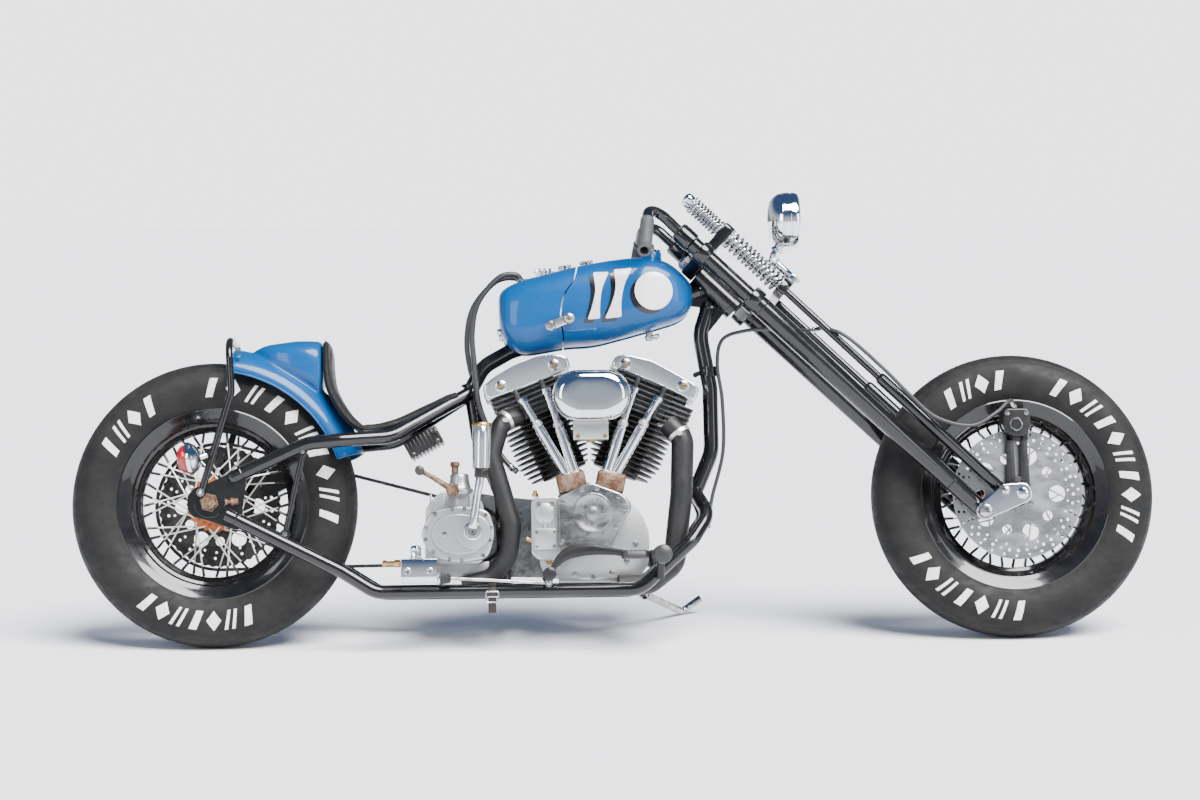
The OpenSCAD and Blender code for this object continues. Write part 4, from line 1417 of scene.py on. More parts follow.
@dataclass
class Handlebar:
    """The two swept bars with their grips."""

    line: ForkLine
    leg_y: float = 108.0
    top: float = 1012.0

    def route(self, side: Side) -> list[Vector]:
        """Returns the corners of one bar."""
        s = side.value
        return [Vector(self.line.at(0, s * self.leg_y, 951)),
                Vector((1010, s * 116, self.top)),
                Vector((990, s * 282, 883))]

    def build(self, shop: Shop) -> None:
        """Makes the bars, the grips and the small fittings."""
        bars, grips, rings = Solid(), Solid(), Solid()
        for side in Side:
            p = self.route(side)
            d = (p[2] - p[1]).normalized()
            path = rounded(p, 44)
            path[-1] = p[2] - d * 30
            bars.sweep(path, 12.7, 32)
            start = p[2] - d * 124
            profile = [(0, 13), (1, 16), (6, 16)]
            for k in range(26):
                at = 9 + k * 4.6
                profile += [(at, 16), (at + 1, 14.9), (at + 2.2, 14.9),
                            (at + 3.2, 16)]
            profile += [(132, 16), (136, 15.9), (138, 15), (138, 10),
                        (84, 9.6), (84, 0.1)]
            grips.turned(start, d, profile, 36)
            rings.turned(self.line.at(0, side.value * self.leg_y, 944),
                         self.line.up(), [(0, 20), (2, 22), (9, 22),
                                          (11, 14)], 32)
        shop.piece("handlebar_tubes", bars, Finishes.BLACK, Body.FORK,
                   replaces=("handlebar",))
        shop.piece("ribbed_grips", grips, Finishes.GRIP, Body.FORK,
                   replaces=("grips",), smooth=50)
        shop.piece("bar_collars", rings, Finishes.SATIN, Body.FORK)


@dataclass
class FrontCaliper:
    """The front brake caliper on its two arms."""

    line: ForkLine

    def build(self, shop: Shop) -> None:
        """Makes the caliper, its arms, its bolts and its blank badge."""
        x, z = self.line.wheelbase, AXLE_HEIGHT
        body, arms, bright = Solid(), Solid(), Solid()
        rim = softened([(1818, 488), (1828, 470), (1840, 462), (1866, 462),
                        (1876, 470), (1884, 488), (1882, 522), (1874, 527),
                        (1826, 527), (1820, 520)], 7)
        body.crowned(rim, -86, -110, 4)
        body.slab(rim, -65, -57)
        body.slab([(1822, 500), (1880, 500), (1880, 526), (1822, 526)],
                  -87, -64)
        for near, far in (((1838, 346), (1836, 470)), ((1870, 346), (1868, 470))):
            w = 8
            plan = outline_round([(near[0], near[1], w + 3),
                                  (far[0], far[1], w)])
            arms.slab(plan, -94.4, -86)
        arms.slab(outline_round([(x, z, 25), (x, z + 18, 22)]), -94.4, -86)
        arms.slab(softened([(1828, 452), (1878, 452), (1880, 480),
                            (1826, 480)], 6), -94.4, -86)
        for px, pz in ((1829, 516), (1874, 516)):
            bright.nut((px, -110, pz), (0, -1, 0), 5, 5)
        for px, pz in ((1838, 350), (1870, 350)):
            bright.nut((px, -94.4, pz), (0, -1, 0), 5, 4)
        ring = [(15.5, -1), (16, 0), (15, 1.4), (12.8, 1.4), (12, 0.6),
                (12, -1)]
        bright.add(Solid().revolved(0, [(r, -111 - y) for r, y in ring], 40)
                   .moved(Matrix.Translation((1849, 0, 490 - AXLE_HEIGHT))))
        bright.rod((1848, -98, 527), (1848, -98, 536), 6)
        shop.piece("front_caliper_body", body, Finishes.SATIN, Body.FORK,
                   edge=0.8, replaces=("front_brake_caliper",))
        shop.piece("front_caliper_arms", arms, Finishes.SATIN, Body.FORK,
                   edge=0.8)
        shop.piece("front_caliper_bolts", bright, Finishes.AGED_CHROME,
                   Body.FORK)


# ---- frame --------------------------------------------------------------


@dataclass
class Chassis:
    """The rigid frame: every tube, plate, weld and tab."""

    spine: float = 18.0
    rail: float = 16.0
    rail_y: float = 130.0
    rail_z: float = 122.0
    line: ForkLine = ForkLine(1854.0)

    BACKBONE = ((596, 0, 596), (622, 0, 645), (685, 0, 680), (1140, 0, 822))
    POST = ((590, 0, 606), (609, 0, 474), (662, 0, 340), (668, 0, 122))
    DOWN = ((1154, 0, 788), (1130, 0, 715), (1152, 0, 590), (1153, 0, 440),
            (1108, 0, 335))
    HOOP = ((-18, -136, 350), (30, -132, 512), (50, -126, 580),
            (42, -112, 704), (42, 112, 704), (50, 126, 580), (30, 132, 512),
            (-18, 136, 350))

    def rail_route(self, s: int) -> list[Point]:
        """Returns the corners of a lower rail."""
        y, z = s * self.rail_y, self.rail_z
        return [(38, s * 122, 302), (300, y, 170), (376, y, z), (976, y, z),
                (1098, s * 108, 232), (1140, s * 66, 292), (1112, s * 12, 346)]

    def stay_route(self, s: int) -> list[Point]:
        """Returns the corners of an upper stay."""
        return [(52, s * 122, 386), (222, s * 128, 462), (300, s * 128, 469),
                (412, s * 104, 477), (590, s * 14, 582)]

    def build(self, shop: Shop) -> None:
        """Makes every piece of the frame."""
        self._spine(shop)
        self._rails(shop)
        self._plates(shop)
        self._axle(shop)

    def _spine(self, shop: Shop) -> None:
        """Makes the backbone, the neck, the seat post and the down tube."""
        s = Solid().tube(self.BACKBONE, self.spine, 70, 36)
        s.turned(self.line.at(-30, 0, 735), self.line.up(), [
            (0, 27), (1.5, 29), (14, 29), (15, 28), (105, 28), (106, 29),
            (118.5, 29), (120, 27)], 44)
        s.crowned([(1060, 788), (1150, 836), (1196, 776), (1150, 720),
                   (1128, 740), (1130, 780)], -5, 5, 1)
        s.weld((1132, 0, 820), (0.95, 0, 0.3), self.spine, 3)
        shop.piece("backbone_and_neck", s, Finishes.BLACK, Body.FRAME,
                   replaces=("main_frame",))
        p = Solid().tube(self.POST, self.spine - 2, 80, 32)
        p.across(668, self.rail_z, -self.rail_y + 4, self.rail_y - 4, 13)
        p.weld((590, 0, 602), (-0.1, 0, 1), 17, 3)
        p.weld((668, 0, 142), (0, 0, 1), 16, 3)
        shop.piece("seat_post_tube", p, Finishes.BLACK, Body.FRAME,
                   replaces=("seat_post",))
        d = Solid().tube(self.DOWN, self.spine, 90, 36)
        d.turned((1152, 0, 640), (0, 0, -1), [
            (0, 19), (1, 23), (6, 23), (7, 21.5), (17, 21.5), (18, 23),
            (23, 23), (24, 19)], 36)
        d.slab(outline_round([(1130, 626, 5), (1118, 621, 6)]), -4, 4)
        d.weld((1154, 0, 778), (0, 0, 1), self.spine, 3)
        shop.piece("front_down_tube", d, Finishes.BLACK, Body.FRAME,
                   replaces=("down_tube",))

    def _rails(self, shop: Shop) -> None:
        """Makes the lower rails, the upper stays and the fender hoop."""
        for side in Side:
            s = side.value
            r = Solid().tube(self.rail_route(s), self.rail, 62, 32)
            r.rod((214, s * 127, 448), (170, s * 125, 250), 7)
            r.weld((60, s * 122.6, 292), (0.9, 0, -0.45), self.rail, 2.6)
            r.weld((172, s * 125, 258), (0.2, 0, 1), 7, 2)
            for x, z in ((212, 444), (171, 256)):
                r.turned((x, s * 121, z), (0, s, 0), [
                    (0, 10), (1, 11), (12, 11), (13, 10)], 28)
            if side is Side.LEFT:
                up = Vector((0, 0.193, 0.981)).normalized()
                pivot = Vector((1000, 166, 112))
                r.rod(pivot - up * 11.8, pivot + up * 33, 5.9)
                r.rod((1000, self.rail_y, self.rail_z + 12), pivot + up * 28, 7)
            shop.piece(f"lower_rail_tube_{side.name.lower()}", r,
                       Finishes.BLACK, Body.FRAME,
                       replaces=(f"lower_rail_{side.name.lower()}",))
        t = Solid()
        for s in (-1, 1):
            t.tube(self.stay_route(s), self.rail, 90, 32)
            t.weld((72, s * 122.6, 397), (0.88, 0, 0.46), self.rail, 2.6)
            t.turned((52, s * 122, 386), (-0.88, 0, -0.46),
                     [(0, 16), (6, 14), (10, 9), (12, 0.1)], 28)
        shop.piece("upper_stay_tubes", t, Finishes.BLACK, Body.FRAME,
                   replaces=("upper_stays",))
        h = Solid().tube(self.HOOP, 8.5, 52, 24)
        shop.piece("fender_hoop_tube", h, Finishes.BLACK, Body.FRAME,
                   replaces=("fender_hoop",))
        b = Solid()
        for s in (-1, 1):
            b.acorn((-18, s * 144, 352), (0, s, 0), 7)
            for x, z in ((62, 684), (62, 668)):
                b.nut((x, s * 84, z), (0, s, 0.2), 3.6, 3)
            b.nut((212, s * 134, 444), (0, s, 0), 5, 5)
            b.nut((171, s * 134, 256), (0, s, 0), 5, 5)
        shop.piece("frame_bolts", b, Finishes.AGED_CHROME, Body.FRAME)

    def _plates(self, shop: Shop) -> None:
        """Makes the slotted axle plates."""
        s = Solid()
        rim = softened([(-51, 330), (-47, 350), (-32, 365), (-8, 371),
                        (36, 392), (78, 408), (84, 396), (78, 330),
                        (70, 268), (54, 268), (-6, 290), (-38, 298),
                        (-49, 312)], 9)
        slot = softened([(24, 323), (60, 323), (60, 341), (24, 341)], 8)
        for y in (-128, 116):
            s.punched(rim, [slot, disc_outline(0, 330, 10, 32)], y, y + 12, 0.8)
            s.add(Solid().revolved(0, [(r, y + 6 + t) for r, t in (
                (11, -7), (34, -7), (35, -6), (35, 6), (34, 7), (11, 7))], 56))
        shop.piece("slotted_axle_plates", s, Finishes.BLACK, Body.FRAME,
                   replaces=("axle_plates",))

    def _axle(self, shop: Shop) -> None:
        """Makes the rear axle, its nuts and its chain adjusters."""
        s = Solid().across(0, 330, -150, 148, 9.9)
        s.across(0, 330, -115, -72.4, 14.8)
        s.across(0, 330, 99.4, 115, 14.8)
        for y, d in ((-128.5, -1), (128.5, 1)):
            s.turned((0, y, 330), (0, d, 0), [(0, 22), (3, 22), (3.2, 19),
                                              (15, 19), (18, 16.5)], 6)
            s.turned((36, y + d * 5, 331), (1, 0, 0), [
                (0, 4.5), (2, 7), (6, 7), (6.5, 4), (14, 4), (14.5, 7),
                (30, 7.6), (31, 6)], 20)
            s.nut((4, y + d * 5, 331), (-1, 0, 0), 5, 5)
        shop.piece("rear_axle_and_adjusters", s, Finishes.RUST, Body.FRAME,
                   replaces=("rear_axle",))


# ---- body work ----------------------------------------------------------


@dataclass
class Fender:
    """The rear fender with the swelling that the seat leans on."""

    half: float = 88.0
    base: float = 306.0
    rise: float = 58.0
    start: float = 19.0
    end: float = 82.0

    HUMP = ((92, 668, 686, 30), (118, 646, 698, 52), (150, 630, 703, 66),
            (190, 604, 708, 74), (225, 584, 708, 76), (244, 566, 706, 73),
            (250, 572, 700, 68))

    def build(self, shop: Shop) -> None:
        """Makes the fender and its rolled edges."""
        solid = self._filled(0, self.start, self.end, 306)
        rings = []
        flow = flowing([(a, b, c) for a, b, c, _ in self.HUMP], 4)
        wide = flowing([(a, d, 0) for a, _, _, d in self.HUMP], 4)
        for p, q in zip(flow, wide):
            ring = []
            for k in range(48):
                t = math.tau * k / 48
                c, s = math.cos(t), math.sin(t)
                ring.append(Vector((
                    p.x, -q.y * math.copysign(abs(c) ** 0.7, c),
                    (p.y + p.z) / 2 + (p.z - p.y) / 2
                    * math.copysign(abs(s) ** 0.7, s))))
            rings.append(ring)
        solid.skin(rings)
        o = shop.piece("fender_skin", solid, Finishes.BLUE, Body.FRAME,
                       replaces=("rear_fender",))
        m = o.modifiers.new("join", "REMESH")
        m.mode = "VOXEL"
        m.voxel_size = 0.0028
        m = o.modifiers.new("soften", "SMOOTH")
        m.factor, m.iterations = 0.5, 14
        shop.settle(o)
        cut = shop.piece("fender_inside",
                         self._filled(4, self.start - 2, self.end + 2, 276),
                         Finishes.BLUE, Body.FRAME)
        m = o.modifiers.new("hollow", "BOOLEAN")
        m.operation, m.object, m.solver = "DIFFERENCE", cut, "FAST"
        shop.settle(o)
        shop.discard(cut)
        o.data.shade_smooth()
        o.data.set_sharp_from_angle(angle=math.radians(40))
        edge = Solid()
        for s in (-1, 1):
            line = [Vector(self._at(s * (self.half - 2), self.base - 1,
                                    self.start + (self.end - self.start) * k / 40))
                    for k in range(41)]
            edge.sweep(line, 2.6, 12)
        for a in (self.start, self.end):
            line = [Vector(self._at(-(self.half - 2) * math.cos(math.radians(t)),
                                    self.base + (self.rise - 2)
                                    * math.sin(math.radians(t)), a))
                    for t in range(0, 181, 6)]
            edge.sweep(line, 2.6, 12)
        shop.piece("fender_rolled_edge", edge, Finishes.BLUE, Body.FRAME)

    def _at(self, y: float, r: float, angle: float) -> Point:
        """Returns the point at a radius and an angle round the axle."""
        t = math.radians(angle)
        return (r * math.cos(t), y, AXLE_HEIGHT + r * math.sin(t))

    def _filled(self, inset: float, start: float, end: float,
                low: float) -> Solid:
        """Draws the fender filled in down to a radius."""
        w, h = self.half - inset, self.rise - inset
        ring = [(-w, low)] + [(-w * math.cos(math.radians(6 * j)),
                               self.base + h * math.sin(math.radians(6 * j)))
                              for j in range(31)] + [(w, low)]
        return Solid().skin([[Vector(self._at(y, r, start + (end - start)
                                              * k / 52)) for y, r in ring]
                             for k in range(53)])


@dataclass
class Seat:
    """The thin padded seat that turns up into a backrest."""

    ROUTE = ((252, 0, 703), (253, 0, 640), (260, 0, 592), (283, 0, 546),
             (313, 0, 507), (344, 0, 488), (376, 0, 488), (402, 0, 494),
             (437, 0, 506), (485, 0, 529), (530, 0, 550), (568, 0, 570))

    def build(self, shop: Shop) -> None:
        """Makes the pad, puffs it up, and adds its pan and its piping."""
        pad = shop.piece("seat_leather", self._shape(1.0, 9.0, 2.0),
                         Finishes.LEATHER, Body.FRAME, replaces=("seat",))
        self._puff(pad, shop)
        shop.piece("seat_pan", self._shape(0.985, 3.2, -1.0), Finishes.SATIN,
                   Body.FRAME)
        line = self._edge()
        shop.piece("seat_piping", Solid().sweep(line + [line[0]], 2.6, 10),
                   Finishes.LEATHER, Body.FRAME)

    def _width(self, t: float) -> float:
        """Returns the half width at a share of the seat's length."""
        swell = math.sin(math.radians(min(1, 0.15 + t * 1.05) * 150)) ** 2
        return 62 + 54 * swell - 26 * t

    def _edge(self) -> list[Vector]:
        """Returns the line that the piping follows."""
        line = flowing(list(self.ROUTE), 6)
        n = len(line) - 1
        sides = []
        for s in (-1, 1):
            row = []
            for i, p in enumerate(line):
                d = (line[min(n, i + 1)] - line[max(0, i - 1)]).normalized()
                row.append(p + Vector((0, s * (self._width(i / n) - 2), 0))
                           + Vector((-d.z, 0, d.x)) * 9)
            sides.append(row[1:-1])
        return sides[0] + sides[1][::-1]

    def _shape(self, share: float, half: float, lift: float) -> Solid:
        """Draws the seat's body at a share of its width and a thickness."""
        line = flowing(list(self.ROUTE), 6)
        n = len(line) - 1
        rings = []
        for i, p in enumerate(line):
            d = (line[min(n, i + 1)] - line[max(0, i - 1)]).normalized()
            up = Vector((-d.z, 0, d.x))
            w = self._width(i / n) * share
            ring = []
            for j in range(40):
                t = math.tau * j / 40
                c, s = math.cos(t), math.sin(t)
                ring.append(p + Vector((0, w * math.copysign(abs(c) ** 0.4, c), 0))
                            + up * (9 + lift - half
                                    * math.copysign(abs(s) ** 0.7, s)))
            rings.append(ring)
        return Solid().skin(rings)

    def _puff(self, o: bpy.types.Object, shop: Shop) -> None:
        """Fills the leather a little, holding it near its shape."""
        m = o.modifiers.new("even", "REMESH")
        m.mode = "VOXEL"
        m.voxel_size = 0.0055
        shop.settle(o)
        rest = [v.co.copy() for v in o.data.vertices]
        cloth = o.modifiers.new("cloth", "CLOTH")
        c = cloth.settings
        c.use_pressure, c.uniform_pressure_force = True, 4.0
        c.effector_weights.gravity = 0.0
        c.tension_stiffness = c.compression_stiffness = 40.0
        c.bending_stiffness = 4.0
        cloth.point_cache.frame_start = 1
        cloth.point_cache.frame_end = 20
        for k in range(1, 21):
            bpy.context.scene.frame_set(k)
        shop.settle(o)
        bpy.context.scene.frame_set(1)
        for v, p in zip(o.data.vertices, rest):
            gap = v.co - p
            if gap.length > 0.0025:
                v.co = p + gap.normalized() * 0.0025
        m = o.modifiers.new("rounding", "SUBSURF")
        m.levels = m.render_levels = 1
        shop.settle(o)
        o.data.shade_smooth()


@dataclass
class Tank:
    """The two-part tank with its seam, marks, caps and links."""

    half: float = 112.0

    SECTIONS = ((660, 752, 800, 52), (664, 722, 814, 74), (676, 694, 826, 90),
                (700, 675, 838, 100), (730, 672, 848, 106),
                (770, 678, 857, 110), (820, 686, 870, 112),
                (880, 690, 882, 112), (940, 704, 891, 110),
                (1000, 720, 895, 106), (1046, 733, 886, 99),
                (1076, 743, 867, 90), (1096, 757, 847, 77),
                (1110, 777, 831, 56))
    SEAM = ((846, 900), (842, 868), (833, 834), (812, 800), (804, 768),
            (804, 736), (809, 706), (811, 660))

    def build(self, shop: Shop) -> None:
        """Makes the painted body, its marks and its fittings."""
        o = self._body(shop)
        self._marks(shop, o)
        self._caps(shop)
        self._links(shop)

    def _shell(self) -> Solid:
        """Draws the whole tank as one smooth solid."""
        flow = flowing([(a, b, c) for a, b, c, _ in self.SECTIONS], 4)
        wide = flowing([(a, d, 0) for a, _, _, d in self.SECTIONS], 4)
        rings = []
        for p, q in zip(flow, wide):
            ring = []
            for k in range(88):
                t = math.tau * k / 88
                c, s = math.cos(t), math.sin(t)
                ring.append(Vector((
                    p.x, -q.y * math.copysign(abs(c) ** 0.62, c),
                    (p.y + p.z) / 2 + (p.z - p.y) / 2
                    * math.copysign(abs(s) ** 0.62, s))))
            rings.append(ring)
        return Solid().skin(rings)

    def _body(self, shop: Shop) -> bpy.types.Object:
        """Makes the body, softened, with the seam and the tunnel cut."""
        o = shop.piece("tank_body", self._shell(), Finishes.BLUE, Body.FRAME,
                       replaces=("fuel_tank", "oil_tank"))
        m = o.modifiers.new("even", "REMESH")
        m.mode = "VOXEL"
        m.voxel_size = 0.0024
        m = o.modifiers.new("soften", "SMOOTH")
        m.factor, m.iterations = 0.5, 16
        shop.settle(o)
        line = flowing([(x, 0, z) for x, z in self.SEAM], 6)
        cut = Solid().slab([(p.x - 1.5, p.z) for p in line]
                           + [(p.x + 1.5, p.z) for p in line[::-1]],
                           -130, 130)
        tilt = math.atan2(142, 455)
        hole = Matrix.Translation((685, 0, 680)) @ Matrix.Rotation(-tilt, 4, "Y")
        cut.add(Solid().box((250, 0, -68), (620, 48, 184)), hole)
        tool = shop.piece("seam_cutter", cut, Finishes.BLUE, Body.FRAME,
                          weld_verts=False)
        m = o.modifiers.new("seam", "BOOLEAN")
        m.operation, m.object, m.solver = "DIFFERENCE", tool, "EXACT"
        m.use_self = True
        shop.settle(o)
        shop.discard(tool)
        o.data.shade_smooth()
        o.data.set_sharp_from_angle(angle=math.radians(34))
        return o

    def _marks(self, shop: Shop, o: bpy.types.Object) -> None:
        """Makes the painted shapes, black shadow first, on both sides."""
        tree = BVHTree.FromObject(o, bpy.context.evaluated_depsgraph_get())
        shapes = self._shapes()
        for side in Side:
            for name, finish, dx, dz, lift in (
                    ("shadow", Finishes.SHADOW, -11, -9, 0.35),
                    ("white", Finishes.WHITE, 0, 0, 0.8)):
                s = Solid()
                for outline in shapes:
                    self._lay(s, tree, shop.stance,
                              [(x + dx, z + dz) for x, z in outline],
                              side, lift)
                made = shop.piece(f"tank_mark_{name}_{side.name.lower()}", s,
                                  finish, Body.FRAME, smooth=60)
                made.visible_shadow = False

    def _shapes(self) -> list[Outline]:
        """Returns the white shapes: two swept flashes and a disc."""
        return [
            softened([(866, 742), (892, 744), (914, 852), (880, 852)], 3),
            softened([(906, 744), (942, 748), (968, 861), (928, 858)], 3),
            disc_outline(1018, 808, 44, 40)]

    def _lay(self, s: Solid, tree: BVHTree, stance: Stance, outline: Outline,
             side: Side, lift: float) -> None:
        """Lays an outline on the tank's side as a thin patch.

        Args:
            s: The solid to draw into.
            tree: The tank's surface.
            stance: Where the bike stands.
            outline: The convex outline in x and z.
            side: Which side of the tank.
            lift: How far it stands off the paint, in millimetres.
        """
        cx = sum(p[0] for p in outline) / len(outline)
        cz = sum(p[1] for p in outline) / len(outline)
        m, back = stance.matrix(), stance.matrix().inverted()
        turn = m.to_3x3().normalized()
        rings = []
        for k in range(13):
            f = k / 12
            row = []
            for x, z in outline:
                start = m @ Vector((cx + (x - cx) * f, side.value * 300,
                                    cz + (z - cz) * f))
                hit, normal, _, _ = tree.ray_cast(
                    start, turn @ Vector((0, -side.value, 0)))
                if hit is None:
                    hit, normal, _, _ = tree.find_nearest(start)
                row.append(back @ (hit + normal * lift / 1000))
            rings.append(row)
        grid = [[s.bm.verts.new(p) for p in row] for row in rings]
        n = len(outline)
        for a, b in zip(grid, grid[1:]):
            for j in range(n):
                s.bm.faces.new((a[j], a[(j + 1) % n], b[(j + 1) % n], b[j]))

    def _caps(self, shop: Shop) -> None:
        """Makes the filler neck, the two caps and the top fittings."""
        neck = Solid().turned((1018, -20, 878), (0, 0, 1), [
            (0, 27), (8, 25), (12, 23.5), (28, 23.5), (30, 22)], 44)
        shop.piece("filler_neck", neck, Finishes.BLUE, Body.FRAME)
        s = Solid().turned((1018, -20, 908.2), (0, 0, 1), [
            (0, 19), (1, 22), (4, 22), (5, 20), (5.4, 8), (8, 7.5),
            (16, 7.5), (19, 5), (19.6, 0.1)], 44)
        rim = []
        for k in range(144):
            t = math.tau * k / 144
            r = 23 + 1.6 * math.cos(12 * t)
            rim.append((r * math.cos(t), r * math.sin(t)))
        base = Matrix.Translation((768, 0, 857.4))
        s.extruded([(0.8 * x, 0.8 * y) for x, y in rim], 0, 7, base)
        s.extruded(rim, 6.5, 10, base)
        for k in range(8):
            t = math.tau * k / 8
            s.turned((768 + 17 * math.cos(t), 17 * math.sin(t), 867), (
                0.25 * math.cos(t), 0.25 * math.sin(t), 1),
                [(0, 4), (5, 2.6), (7.4, 2), (8, 0.1)], 12)
        shop.piece("tank_caps", s, Finishes.CHROME, Body.FRAME,
                   replaces=("tank_fittings",))
        b = Solid()
        for x, z in ((812, 868), (862, 878)):
            b.turned((x, -4, z - 3), (-0.15, 0, 1), [
                (0, 13), (4, 13), (5, 9), (9, 9), (10, 11), (13, 11),
                (14, 6)], 6)
            b.rod((x - 12, -4, z + 8), (x + 14, -4, z + 11), 4)
            b.turned((x + 14, -4, z + 8), (0.1, 0, 1), [(0, 5), (7, 5)], 16)
        for y in (-34, 34):
            b.turned((728, y, 838), (-1, 0, 0.16), [
                (0, 9), (6, 9), (6.2, 7.4), (14, 7.4), (15, 9), (22, 9)], 6)
        b.nut((664, -34, 722), (-1, 0, 0), 8, 8)
        b.nut((668, 30, 716), (-1, 0, 0), 8, 8)
        shop.piece("tank_top_fittings", b, Finishes.AGED_CHROME, Body.FRAME)
        tap = Solid().rod((1010, -20, 722), (1010, -20, 700), 8)
        tap.rod((1000, -20, 706), (1034, -26, 712), 5)
        tap.box((1020, -34, 706), (20, 9, 9))
        shop.piece("fuel_tap", tap, Finishes.CAST, Body.FRAME, edge=0.5)

    def _links(self, shop: Shop) -> None:
        """Makes the bolted links that join the two halves."""
        s, b = Solid(), Solid()
        for side in Side:
            y = side.value * (self.half + 8)
            plan = outline_round([(779, 727, 10), (822, 744, 10)])
            s.slab(plan, y - 2, y + 2)
            for x, z in ((779, 727), (822, 744)):
                b.across(x, z, side.value * 100, y, 6)
                b.turned((x, y, z), (0, side.value, 0), [
                    (0, 13.5), (3, 13.5), (3.2, 10.8), (8, 10.8),
                    (9, 9.4)], 6 if x < 800 else 32)
                b.turned((x, y + side.value * 9, z), (0, side.value, 0),
                         [(0, 6), (2.6, 5.4)], 20)
        shop.piece("tank_link_plates", s, Finishes.POLISHED, Body.FRAME,
                   edge=0.5)
        shop.piece("tank_link_bolts", b, Finishes.AGED_CHROME, Body.FRAME)


# ---- engine -------------------------------------------------------------


@dataclass
class Cylinder:
    """One finned cylinder with its head and its polished cover."""

    name: str
    tilt: float
    cover: Outline
    bolts: Outline
    crank: tuple[float, float] = (868.0, 256.0)

    def matrix(self) -> Matrix:
        """Returns the map from the cylinder's own axes to the bike."""
        return (Matrix.Translation((self.crank[0], 0, self.crank[1]))
                @ Matrix.Rotation(math.radians(self.tilt), 4, "Y"))

    def barrel(self, cast: Solid, edges: Solid) -> None:
        """Draws the iron cylinder, its fins and its head."""
        m = self.matrix()
        core = Solid().turned((0, 0, 150), (0, 0, 1), [
            (0, 52), (2, 54), (143, 54), (144.6, 52)], 48)
        out = math.copysign(1, self.tilt)
        for i in range(11):
            at = 156 + i * 12.4
            r = 10 + min(76, at * math.tan(math.radians(22.5)) - 2.4)
            core.turned((out * 10, 0, at), (0, 0, 1), [
                (0, r - 3), (0.8, r - 0.6), (1.4, r), (2.6, r),
                (3.2, r - 0.6), (4, r - 3)], 80)
        cast.add(core, m)
        head = Solid()
        for i in range(8):
            at = 296 + i * 12
            near, far = -84 * out, (116 if out > 0 and i < 5 else 96) * out
            fin = softened([(near, -74), (far, -74), (far, 74), (near, 74)],
                           16)
            head.extruded(fin, at, at + 4, Matrix())
        head.extruded(softened([(-62, -62), (62, -62), (62, 62), (-62, 62)],
                               10), 295, 390, Matrix())
        for x in (-30, 34):
            head.turned((x * out, -71, 296), (0, 0, 1), [
                (0, 7), (90, 7), (92, 5)], 24)
        edges.add(head, m)

    def covered(self, s: Solid, shine: Solid, trim: Solid) -> None:
        """Draws the crescent covers on both sides and the lid between."""
        for side in (-1, 1):
            y0, y1 = side * 70, side * 78
            s.crowned(softened(self.cover, 9), y0 - side * 28, y1, 3.2)
            lip = softened(self._shrunk(1.02), 9)
            s.slab(lip, side * 66, side * 73)
            for x, z in self.bolts:
                shine.turned((x, y1 - side * 0.6, z), (0, side, 0), [
                    (0, 14), (1.6, 14), (2.4, 12.8)], 32)
                shine.turned((x, y1 + side * 1.6, z), (0, side, 0), [
                    (0, 9.6), (5, 9.6), (7, 8)], 6)
                trim.turned((x, y1 + side * 8.4, z), (0, side, 0), [
                    (0, 5.2), (1, 4.6)], 20)
        s.slab(softened(self._shrunk(0.86), 12), -58, 58)

    def _shrunk(self, share: float) -> Outline:
        """Returns the cover's outline drawn in about its middle."""
        cx = sum(p[0] for p in self.cover) / len(self.cover)
        cz = sum(p[1] for p in self.cover) / len(self.cover)
        return [(cx + (x - cx) * share, cz + (z - cz) * share)
                for x, z in self.cover]


